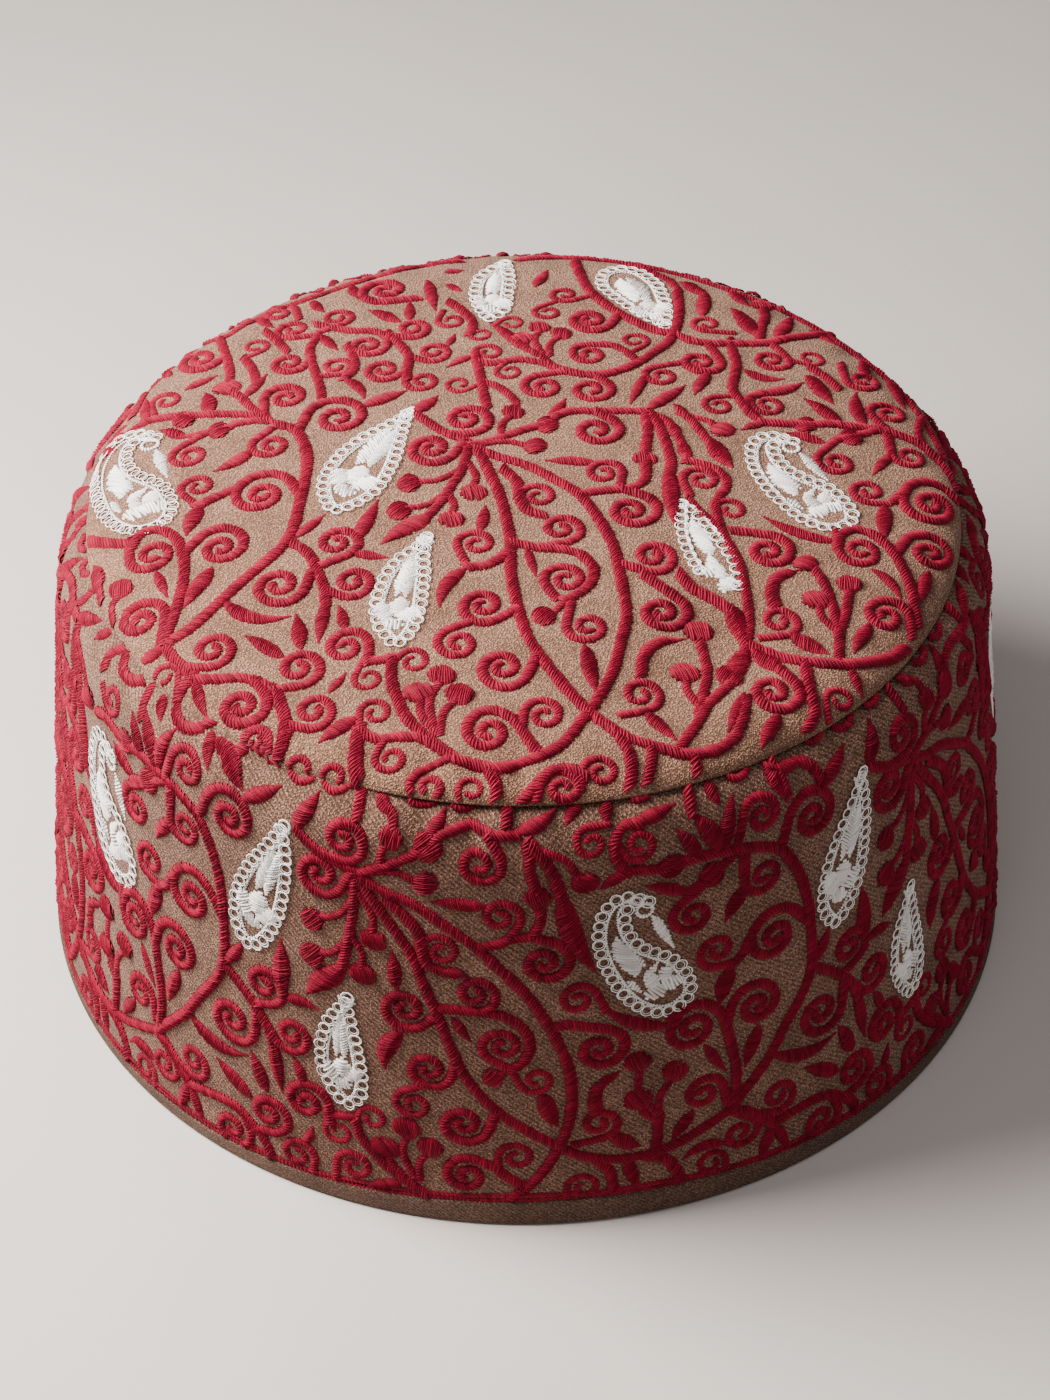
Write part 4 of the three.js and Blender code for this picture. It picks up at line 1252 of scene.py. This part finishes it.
def stitched_thread(name, deep, bright, strands, relief, sheen_tint):
    material, bench = new_finish(name)
    place = bench.node("ShaderNodeTexCoord", out="Object")
    tone = bench.node("ShaderNodeAttribute", {"attribute_name": "tone"}, out="Fac")
    side = bench.node("ShaderNodeAttribute", {"attribute_name": "strand"}, out="Fac")
    strand = 0.5 + 0.5 * bench.math("COSINE", 2 * math.pi * strands * side)
    fuzz = noise(bench, place, FUZZ_SIZE, 2.0)
    patch = noise(bench, place, THREAD_PATCH_SIZE)
    # Painted shade: the strand term darkens the colour in the grooves between strands and stitches; the rest
    # is random tone.
    tone = spread(bench, 0.2 * tone + 0.2 * strand + 0.35 * fuzz + 0.25 * patch, 0.25, 0.7)
    colour = blend_colours(bench, tone, deep, bright)
    close_finish(bench, colour, 0.6 + 0.2 * fuzz, strand + fuzz, relief, THREAD_SHEEN, sheen_tint)
    return material


# Deep and bright ends of each thread's colour; random tone and the painted groove shade choose between them.
RED_THREAD = stitched_thread(
    "red_thread", linear(86, 11, 27), linear(163, 44, 65), 2, 0.12, (1.0, 0.3, 0.36, 1.0))
WHITE_THREAD = stitched_thread(
    "white_thread", linear(206, 196, 191), linear(255, 253, 251), 1, 0.2, (1.0, 0.97, 0.95, 1.0))
print("Threads:", RED_THREAD.name, "and", WHITE_THREAD.name)

# %% [markdown]
# ## Red vines
# The crown's vines are worked in two pieces, front and back, and the wall's in one piece for each repeat,
# so that no mesh grows too large. Lines that run past the seam or the hem are cut there, as the cloth was
# cut after it was embroidered.

# %% Vines on the crown
VINE_STITCH = {"Pitch": 0.66 * MM, "Overlap": 1.4, "Rise": 0.5, "Greatest height": 1.15 * MM, "Groove": 0.5,
               "Ragged": 0.08, "Seed": 7, "Thread": RED_THREAD}
PAD_STITCH = dict(VINE_STITCH, Pitch=0.4 * MM, Overlap=1.5, Rise=0.4, Groove=0.4, Ragged=0.05, Seed=9)
CUT_BACK = 0.3
CROWN_SPLIT = -8.0
vines = []


def stitch_vines(name, lines, lay, stitch=VINE_STITCH):
    vines.append(worked(name, lines, lay, SATIN_STITCH, stitch))


def on_the_crown(line):
    return np.hypot(line[:, 0], line[:, 1]) < SEAM_RADIUS - CUT_BACK


def in_front(line):
    return line[:, 1].mean() < CROWN_SPLIT


whole_crown = clipped(crown_cords, on_the_crown)
stitch_vines("crown_vines_front", [line for line in whole_crown if in_front(line)], on_crown)
stitch_vines("crown_vines_back", [line for line in whole_crown if not in_front(line)], on_crown)
stitch_vines("crown_leaves", clipped(crown_pads, on_the_crown), on_crown, PAD_STITCH)

# %% [markdown]
# The wall's chart covers one repeat, and the repeats are set side by side round the wall. A line of theirs
# is left out where the photograph shows a motif that runs over the seam instead.

# %% Vines on the wall and over the edge
WALL_LOW = 6.6
WALL_HIGH = WALL_LENGTH - CUT_BACK
WALL_REPEAT = 2 * math.pi * CHART_RADIUS / WALL_REPEATS
MOST_TAKEN = 0.5


def on_the_wall(line):
    return (line[:, 1] > WALL_LOW) & (line[:, 1] < WALL_HIGH)


def shifted(lines, repeat):
    return [line + np.array([repeat * WALL_REPEAT, 0, 0, 0]) for line in lines]


def taken_share(line):
    degrees = degrees_from(0, line[:, 0] / CHART_RADIUS)
    below_seam = WALL_LENGTH - line[:, 1]
    return max(((degrees > start) & (degrees < end) & (below_seam < depth)).mean()
               for start, end, depth in EDGE_TAKES)


def one_repeat(lines, repeat):
    return [line for line in shifted(lines, repeat) if taken_share(line) < MOST_TAKEN]


whole_wall = clipped(wall_cords, on_the_wall)
wall_leaves = clipped(wall_pads, on_the_wall)
for repeat in range(WALL_REPEATS):
    stitch_vines(f"wall_vines_{repeat + 1}", one_repeat(whole_wall, repeat), on_wall)
    stitch_vines(f"wall_leaves_{repeat + 1}", one_repeat(wall_leaves, repeat), on_wall, PAD_STITCH)
stitch_vines("edge_vines", edge_cords, on_edge)
stitch_vines("edge_leaves", edge_pads, on_edge, PAD_STITCH)

# %% [markdown]
# The photograph doesn't show the crown's edge at the back. A row of scrolls and leaves is worked there by
# rule, each kept only where it has room beside the vines that are already on the crown.

# %% Motifs on the hidden edge
BACK_EDGE = range(140, 374, 9)
BACK_START, BACK_MIDDLE, BACK_RADIUS, BACK_TURNS = 3.4, 2.7, 2.2, 1.5
BACK_LEAF_WIDTH = 2.2
BACK_FULLNESS = 1.12
ROOM = 0.9
worked_places = on_crown(np.vstack(whole_crown + crown_pads))[0]


def has_room(line):
    gaps = np.linalg.norm(on_edge(line)[0][:, None] - worked_places[None], axis=2)
    return gaps.min() > ROOM + line[:, 2].max() / 2


back_cords, back_pads = [], []
for number, x in enumerate(BACK_EDGE):
    side = 1 if number % 2 else -1
    start = (x - BACK_START * side, BACK_START)
    back_cords.append(scroll(*start, x, BACK_MIDDLE, BACK_RADIUS, BACK_TURNS * side))
    back_pads.append(leaf(x + 3.8, 0.8, x + 5.2, 4.6, BACK_LEAF_WIDTH, 0))
back_cords = fuller([line for line in back_cords if has_room(line)], BACK_FULLNESS)
back_pads = fuller([line for line in back_pads if has_room(line)], BACK_FULLNESS)
stitch_vines("back_edge_vines", back_cords, on_edge)
stitch_vines("back_edge_leaves", back_pads, on_edge, PAD_STITCH)
print("Hidden edge:", len(back_cords), "scrolls and", len(back_pads), "leaves of", len(BACK_EDGE), "places")

# %% [markdown]
# Two red lines of stitches run round the cap just above the binding. They are sewn by hand, so each wavers
# a little, in a slow wave and a quick one.

# %% Red lines above the binding
HEM_LINES = (6.3, 7.2)
HEM_LINE_WIDTH = 0.95
HEM_STITCH = dict(VINE_STITCH, Pitch=0.8 * MM, Seed=11)
SLOW_WAVER, SLOW_WAVE = 0.25, 11
QUICK_WAVER, QUICK_WAVE = 0.18, 4.3
round_cap = np.linspace(0, 2 * math.pi * CHART_RADIUS, 1400)
hem_rows = []
for number, height in enumerate(HEM_LINES):
    slow = SLOW_WAVER * np.sin(round_cap / SLOW_WAVE + number)
    quick = QUICK_WAVER * np.sin(round_cap / QUICK_WAVE + 2 * number)
    hem_rows.append(thread(np.stack([round_cap, height + (slow + quick)], 1), HEM_LINE_WIDTH, STEM_LEAN))
stitch_vines("hem_red_lines", hem_rows, on_wall, HEM_STITCH)

# %% [markdown]
# ## White paisleys
# Each paisley has a border of needle lace: a chain of double rings along its outline, with one fine cord
# inside it. The filling is satin stitch, in most of them a leaf in two halves and a flower. The outlines
# were read from the photograph in the same charts as the vines, and a broad paisley's outline begins at its
# tip.

# %% Paisley outlines
WALL_LEAF_PAISLEYS = [
    [(-45.8, 86.4), (-50.2, 80), (-54.6, 73), (-57, 66.5), (-57.6, 61), (-56.6, 57), (-54, 53.9),
     (-50.3, 54.8), (-47.2, 58.8), (-45, 64.5), (-43.9, 71), (-43.6, 78), (-44.2, 83)],
    [(-32.4, 52.3), (-35.8, 48.5), (-38.3, 43.5), (-39.4, 38), (-39.1, 33), (-37.3, 28.5), (-34.5, 25),
     (-31.8, 24.6), (-29.4, 27), (-28.5, 31), (-28.9, 36), (-29.9, 42), (-31, 47.5)],
]
CROWN_LEAF_PAISLEYS = [
    [(-20.6, 21.3), (-26.6, 16.6), (-31, 13.2), (-34.3, 9.6), (-36.8, 5.5), (-38.3, 1), (-38.6, -3.5),
     (-37.6, -8), (-35.3, -11), (-30, -9.2), (-25.6, -4.5), (-22.9, 3.3), (-21.8, 10), (-20.9, 16)],
    [(-17, -17.3), (-21, -20.8), (-24.8, -24.8), (-27, -30.5), (-28, -36), (-27.6, -40.5), (-26, -44.5),
     (-23.3, -47.5), (-19.9, -45.4), (-17.9, -40.9), (-17, -35.3), (-16.7, -29.6), (-16.8, -23.5)],
    [(-2.5, 79), (-6.5, 76.3), (-9.6, 71.5), (-10.6, 65.5), (-10.3, 59.8), (-8.8, 54.3), (-6.8, 51.4),
     (-4, 53), (-1.9, 56.3), (-1.2, 63), (-1, 72)],
    [(20, 77), (16.3, 75), (14.6, 71.5), (15, 65.8), (18.4, 59.8), (22.5, 54.5), (26.3, 50.6), (28.4, 49.4),
     (29.8, 53), (30, 58), (29.6, 63.1), (28.5, 68.8), (26.6, 72.8), (24, 75.9)],
]
CURLED_PAISLEY = [
    (21.9, 74.6), (20.4, 76.1), (17.8, 77.1), (15.1, 76.1), (13.3, 73.5), (12.5, 70.1), (12.5, 66.4),
    (13.6, 61.5), (15.1, 57.8), (17.4, 53.6), (20, 50.6), (23.4, 48.8), (26.8, 49.1), (29.4, 51.4),
    (29.8, 54.4), (28.6, 57.8), (26.4, 61.1), (23, 63.4), (20.4, 65.3), (18.5, 68.3), (17.8, 71.3),
    (18.1, 73.5), (19.6, 75),
]
CURLED_TOP, CURLED_FOOT = (17.8, 77.1), (26, 48.9)
# Top of the curl and foot of each curled paisley on the crown
CROWN_CURLED = [((47, 13.9), (58, -12.9)), ((-73.5, 22.6), (-70, -9.1))]
NARROW_PAISLEY = [
    [(29.3, -9.1), (31.9, -11.8), (34.5, -16.6), (36.8, -21.1), (38.5, -25.8), (38.7, -31)],
    [(29.3, -9.1), (29.1, -15.1), (29.3, -18.9), (30.4, -23.8), (31.9, -27.5)],
]
print("Paisleys:", WALL_REPEATS * 3, "on the wall,", len(CROWN_LEAF_PAISLEYS) + 3, "on the crown")

# %% [markdown]
# Needle lace is one thread looped into rings. A ring is a circle swept by a small square section, and the
# tree sets rings along an outline, near enough to overlap. Each is stretched a little by chance, as knots
# are.

# %% Lace ring tree
RING_SIDES, WIRE_SIDES = 9, 4
RING_STRETCH = {"X": (0.9, 1.08), "Y": (0.92, 1.12), "Z": (0.9, 1.3)}


def lace_ring_tree():
    bench, size = stitch_tree("lace_rings", ["Spacing", "Ring", "Wire"])
    loop = bench.node("GeometryNodeCurvePrimitiveCircle", inputs={
        "Resolution": RING_SIDES, "Radius": size["Ring"]})
    section = bench.node("GeometryNodeCurvePrimitiveCircle", inputs={
        "Resolution": WIRE_SIDES, "Radius": size["Wire"]})
    ring = bench.node("GeometryNodeCurveToMesh", inputs={"Curve": loop, "Profile Curve": section})
    scale = bench.node("ShaderNodeCombineXYZ", inputs={
        axis: chance(bench, size, *limits, offset)
        for offset, (axis, limits) in enumerate(RING_STRETCH.items())})
    return close_tree(bench, size, bench.node("GeometryNodeInstanceOnPoints", inputs={
        "Points": line_steps(bench, size, "Spacing"), "Instance": ring,
        "Rotation": lying_on_cloth(bench), "Scale": scale}))


LACE_RINGS = lace_ring_tree()
print("Lace ring tree has", len(LACE_RINGS.nodes), "nodes")

# %% [markdown]
# The border is one line, moved in for each row, so every row keeps the paisley's shape. Rings and the
# smaller loops inside them share a row, because they are worked into one another.

# %% Border of a paisley
RING_ROW, INNER_CORD = 1.4, 2.75
CORD_WIDTH = 0.38


def counterclockwise(points):
    points = np.asarray(points, float)
    x, y = points.T
    area = np.sum(x * np.roll(y, -1) - y * np.roll(x, -1))
    return points if area > 0 else points[::-1]


def moved_in(line, distance):
    along = np.gradient(line, axis=0)
    along[0] = along[-1] = (line[1] - line[-2])
    along /= np.linalg.norm(along, axis=1, keepdims=True)
    return line + distance * np.stack([-along[:, 1], along[:, 0]], 1)


def plain(line, width):
    return thread(line, width, STEM_LEAN)


def lace_border(line, ring_row, inner_cord, cord_width=CORD_WIDTH):
    rings = plain(moved_in(line, ring_row), 1)
    cord = plain(moved_in(line, inner_cord), cord_width)
    return {"rings": [rings], "loops": [rings], "cords": [cord], "satin": []}


print("Lace is worked", RING_ROW, "mm inside an outline")

# %% [markdown]
# A broad paisley's filling is laid out on the axis from its tip to the point farthest from it, in shares of
# that length: two half leaves that lean apart, then three petals and a cup. Each sits midway between the
# two sides.

# %% Filling of a broad paisley
BARB_LEAN = math.radians(-36)
BLOB_STEPS, BLOB_NARROWNESS = 10, 0.8
SLICE = 0.04
HALF_MEASURED, HALF_LEAST, HALF_SHARE = 0.4, 0.055, 0.46
HALF_BASE, HALF_TIP = 0.56, 0.2
HALF_ASIDE, TIP_ASIDE = 0.45, 0.4
FLOWER_AT = 0.7
PETALS = ((-1, 0.7), (0, 0), (1, -0.7))
PETAL_SIZE, MIDDLE_PETAL_AHEAD = 0.075, 0.05
CUP_SIZE, CUP_BEHIND = 0.06, 0.09


def blob(x, y, radius, direction):
    t = np.linspace(-PAD_END, PAD_END, BLOB_STEPS)
    ahead = np.array([math.cos(direction), math.sin(direction)])
    pad = np.array([x, y]) + (t * radius)[:, None] * ahead
    return thread(pad, 2 * radius * BLOB_NARROWNESS * np.sqrt(1 - t**2), PAD_LEAN)


def leaf_filling(outline):
    points = np.asarray(outline, float)
    tip = points[0]
    span = points[np.argmax(np.linalg.norm(points - tip, axis=1))] - tip
    length = np.linalg.norm(span)
    left = to_the_left(span)
    heading = math.atan2(span[1], span[0])
    line = smooth_line(outline, closed=True) - tip
    along, aside = line @ span / length**2, line @ left

    def sides(share):
        near = aside[np.abs(along - share) < SLICE]
        return near.min(), near.max()

    def middle(share):
        return tip + share * span + 0.5 * sum(sides(share)) * left

    right_side, left_side = sides(HALF_MEASURED)
    half = max(HALF_LEAST * length, HALF_SHARE * (left_side - right_side - 2 * INNER_CORD))
    filling = []
    for side in (-1, 1):
        aside_by = side * HALF_ASIDE * half * left
        base, top = middle(HALF_BASE) + aside_by, middle(HALF_TIP) + TIP_ASIDE * aside_by
        filling.append(leaf(*base, *top, half, 0, -side * BARB_LEAN))
    flower = middle(FLOWER_AT)
    for side, turn in PETALS:
        petal = flower + side * PETAL_SIZE * length * left - (1 - abs(side)) * MIDDLE_PETAL_AHEAD * span
        filling.append(blob(*petal, PETAL_SIZE * length, heading + turn))
    filling.append(blob(*(flower + CUP_BEHIND * span), CUP_SIZE * length, heading + math.pi / 2))
    return filling


def leaf_paisley(outline):
    line = smooth_line(counterclockwise(outline), closed=True)
    return dict(lace_border(line, RING_ROW, INNER_CORD), satin=leaf_filling(outline))


print("A broad paisley is filled with", len(leaf_filling(CROWN_LEAF_PAISLEYS[0])), "pads")

# %% [markdown]
# The curled paisley was read once, on the wall. On the crown it is turned and scaled so that the top of its
# curl and its foot meet the two places read there. Complex numbers do both at once.

# %% Curled paisley
CURLED_RING_ROW, CURLED_INNER_CORD = 0.3, 1.6
CURL_EYE, CURL_EYE_RADIUS, CURL_EYE_WIDTH = (21.1, 73.1), 1.5, 0.6
# Base, tip, width, bend and lean of each leaf
CURLED_LEAVES = [
    (22.6, 71.3, 26.4, 63.4, 2, 0, LEAF_LEAN), (19.2, 58.4, 16, 67.8, 3.6, 0, BARB_LEAN),
    (20.9, 60.6, 18.6, 63.4, 1.6, 0, LEAF_LEAN), (21, 57.2, 23.4, 60.6, 1.6, 0, LEAF_LEAN),
    (18, 57.2, 20.2, 54.6, 1.4, 0, LEAF_LEAN),
]
# Place, radius and direction of each blob
CURLED_BLOBS = [(23.1, 53.9, 2.2, 0.6), (26, 55.4, 2.1, 0.2), (24.9, 57.8, 1.8, 1.4), (22.4, 56.4, 1.7, 2)]


def curled_paisley(top=CURLED_TOP, foot=CURLED_FOOT):
    turn = (complex(*foot) - complex(*top)) / (complex(*CURLED_FOOT) - complex(*CURLED_TOP))

    def carried(lines):
        moved = []
        for line in lines:
            spot = complex(*top) + (line[:, 0] + 1j * line[:, 1] - complex(*CURLED_TOP)) * turn
            moved.append(np.column_stack([spot.real, spot.imag, line[:, 2] * abs(turn), line[:, 3]]))
        return moved

    made = lace_border(smooth_line(CURLED_PAISLEY), CURLED_RING_ROW, CURLED_INNER_CORD)
    angles = np.linspace(0, 2 * math.pi, 14)
    eye = np.array(CURL_EYE) + CURL_EYE_RADIUS * np.stack([np.cos(angles), np.sin(angles)], 1)
    made["cords"].append(plain(eye, CURL_EYE_WIDTH))
    made["satin"] = [leaf(*row) for row in CURLED_LEAVES] + [blob(*row) for row in CURLED_BLOBS]
    return {kind: carried(lines) for kind, lines in made.items()}


print("A curled paisley has", len(curled_paisley()["satin"]), "pads")

# %% [markdown]
# The narrow paisley near the middle of the crown is two open chains that meet at the tip, with leaves
# between them. All the rows of the wall are gathered first, and then all those of the crown.

# %% Rows of all the paisleys
NARROW_CORD, NARROW_CORD_WIDTH = 0.9, 0.5
NARROW_LEAVES = [(33.8, -23, 31, -13, 3.4, 0, BARB_LEAN), (35.8, -29.5, 34, -23, 3.2, 0, BARB_LEAN)]
NARROW_BLOBS = [(37, -30.5, 2.2, 1.2), (33.5, -27.5, 1.6, 0.4)]


def gathered(motifs):
    return {kind: [line for motif in motifs for line in motif[kind]]
            for kind in ("rings", "loops", "cords", "satin")}


one_wall = gathered([leaf_paisley(outline) for outline in WALL_LEAF_PAISLEYS] + [curled_paisley()])
wall_white = gathered([{kind: shifted(lines, repeat) for kind, lines in one_wall.items()}
                       for repeat in range(WALL_REPEATS)])
narrow = gathered([lace_border(smooth_line(chain), 0, NARROW_CORD, NARROW_CORD_WIDTH)
                   for chain in NARROW_PAISLEY])
narrow["satin"] = [leaf(*row) for row in NARROW_LEAVES] + [blob(*row) for row in NARROW_BLOBS]
crown_white = gathered([leaf_paisley(outline) for outline in CROWN_LEAF_PAISLEYS]
                       + [curled_paisley(top, foot) for top, foot in CROWN_CURLED] + [narrow])
print("Lace rings run along", round(line_length(wall_white["rings"] + crown_white["rings"])), "mm")

# %% [markdown]
# Each kind of row is worked as a piece of its own, on the crown and on the wall. The rings lie highest,
# because lace rests on the cloth while satin stitches are pulled into it.

# %% Work the paisleys
RINGS = {"Spacing": 2.1 * MM, "Ring": 1.2 * MM, "Wire": 0.12 * MM, "Seed": 21, "Thread": WHITE_THREAD}
LOOPS = {"Spacing": 2.1 * MM, "Ring": 0.86 * MM, "Wire": 0.1 * MM, "Seed": 22, "Thread": WHITE_THREAD}
CORD_STITCH = {"Pitch": 0.6 * MM, "Overlap": 1.3, "Rise": 0.8, "Greatest height": 0.5 * MM, "Groove": 0.5,
               "Ragged": 0.1, "Seed": 23, "Thread": WHITE_THREAD}
SATIN = {"Pitch": 0.62 * MM, "Overlap": 1.04, "Rise": 0.3, "Greatest height": 0.7 * MM, "Groove": 0.9,
         "Ragged": 0.16, "Seed": 24, "Thread": WHITE_THREAD}
# Rows, tree, sizes and lift off the cloth in mm
WHITE_WORK = (("rings", LACE_RINGS, RINGS, 0.35), ("loops", LACE_RINGS, LOOPS, 0.2),
              ("cords", SATIN_STITCH, CORD_STITCH, 0.1), ("satin", SATIN_STITCH, SATIN, 0.1))
paisleys = []


def lifted(lay, height):
    def place(chart):
        points, outward = lay(chart)
        return points + height * outward, outward
    return place


def work_paisleys(where, white, lay, keep):
    for kind, tree, sizes, lift in WHITE_WORK:
        lines = clipped(white[kind], keep)
        paisleys.append(worked(f"{where}_paisley_{kind}", lines, lifted(lay, lift), tree, sizes))


work_paisleys("crown", {kind: slid(lines) for kind, lines in crown_white.items()}, on_crown, on_the_crown)
work_paisleys("wall", wall_white, on_wall, on_the_wall)

# %% [markdown]
# ## Stage and light
# A plain pale floor carries the cap. A broad soft light from the left models the crown, as in the
# photograph, and the wall facing the viewer falls into gentle shade. Weak lights from the right and from
# above the viewer keep that shade open. The view has a little more contrast than usual, which is close to
# the photograph's.

# %% Floor
FLOOR = 12.0
FLOOR_CORNERS = [(-FLOOR, -FLOOR, 0), (FLOOR, -FLOOR, 0), (FLOOR, FLOOR, 0), (-FLOOR, FLOOR, 0)]
FLOOR_DEEP, FLOOR_PALE = linear(199, 193, 188), linear(205, 199, 194)
FLOOR_PATCH, FLOOR_GRAIN = 60.0, 2.0
FLOOR_ROUGHNESS, FLOOR_RELIEF = 0.9, 0.05
floor_mesh = bpy.data.meshes.new("floor")
floor_mesh.from_pydata(FLOOR_CORNERS, [], [(0, 1, 2, 3)])
floor = bpy.data.objects.new("floor", floor_mesh)
bpy.context.scene.collection.objects.link(floor)
floor_finish, floor_bench = new_finish("pale_floor")
floor_place = floor_bench.node("ShaderNodeTexCoord", out="Object")
floor_tone = blend_colours(floor_bench, noise(floor_bench, floor_place, FLOOR_PATCH), FLOOR_DEEP, FLOOR_PALE)
floor_grain = noise(floor_bench, floor_place, FLOOR_GRAIN)
close_finish(floor_bench, floor_tone, FLOOR_ROUGHNESS, floor_grain, FLOOR_RELIEF, 0.0, (1.0, 1.0, 1.0, 1.0))
floor_mesh.materials.append(floor_finish)
print("Floor is", 2 * FLOOR, "m wide")

# %% Lights
LIGHT_AIM = Vector((0, 0, 0.06))
# Place in metres, size, power and colour of each light
LIGHTS = {
    "window": ((-0.34, 0.0, 0.42), 0.34, 7.0, (1.0, 0.96, 0.92)),
    "room": ((0.85, 0.1, 0.3), 0.8, 1.1, (1.0, 0.97, 0.94)),
    "ceiling": ((0.05, -0.4, 0.6), 0.7, 1.1, (1.0, 0.98, 0.96)),
}
SKY_COLOUR, SKY_STRENGTH = (0.95, 0.96, 1.0, 1.0), 0.17


def soft_light(name, place, size, power, colour):
    data = bpy.data.lights.new(name, "AREA")
    data.shape = "DISK"
    data.size = size
    data.energy = power
    data.color = colour
    light = bpy.data.objects.new(name, data)
    aim = LIGHT_AIM - Vector(place)
    light.matrix_world = Matrix.Translation(Vector(place)) @ aim.to_track_quat("-Z", "Y").to_matrix().to_4x4()
    bpy.context.scene.collection.objects.link(light)


for name, settings in LIGHTS.items():
    soft_light(name, *settings)
bpy.context.scene.view_settings.view_transform = "AgX"
bpy.context.scene.view_settings.look = "AgX - Medium High Contrast"
world = bpy.data.worlds.new("studio")
world.use_nodes = True
world.node_tree.nodes["Background"].inputs["Color"].default_value = SKY_COLOUR
world.node_tree.nodes["Background"].inputs["Strength"].default_value = SKY_STRENGTH
bpy.context.scene.world = world
print(len(LIGHTS), "soft lights")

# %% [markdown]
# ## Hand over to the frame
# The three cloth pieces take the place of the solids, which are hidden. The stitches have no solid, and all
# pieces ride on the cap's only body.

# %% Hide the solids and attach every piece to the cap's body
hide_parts("crown")
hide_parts("side_band")
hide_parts("hem_binding")
piece_slots = [(crown, "crown_wool"), (side_band, "band_wool"), (hem_binding, "binding_wool")]
piece_slots += [(piece, "red_thread") for piece in vines] + [(piece, "white_thread") for piece in paisleys]
for piece, slot in piece_slots:
    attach(piece, "root")
print(len(piece_slots), "pieces ride on the cap")

# %% Update the scene
bpy.context.view_layer.update()
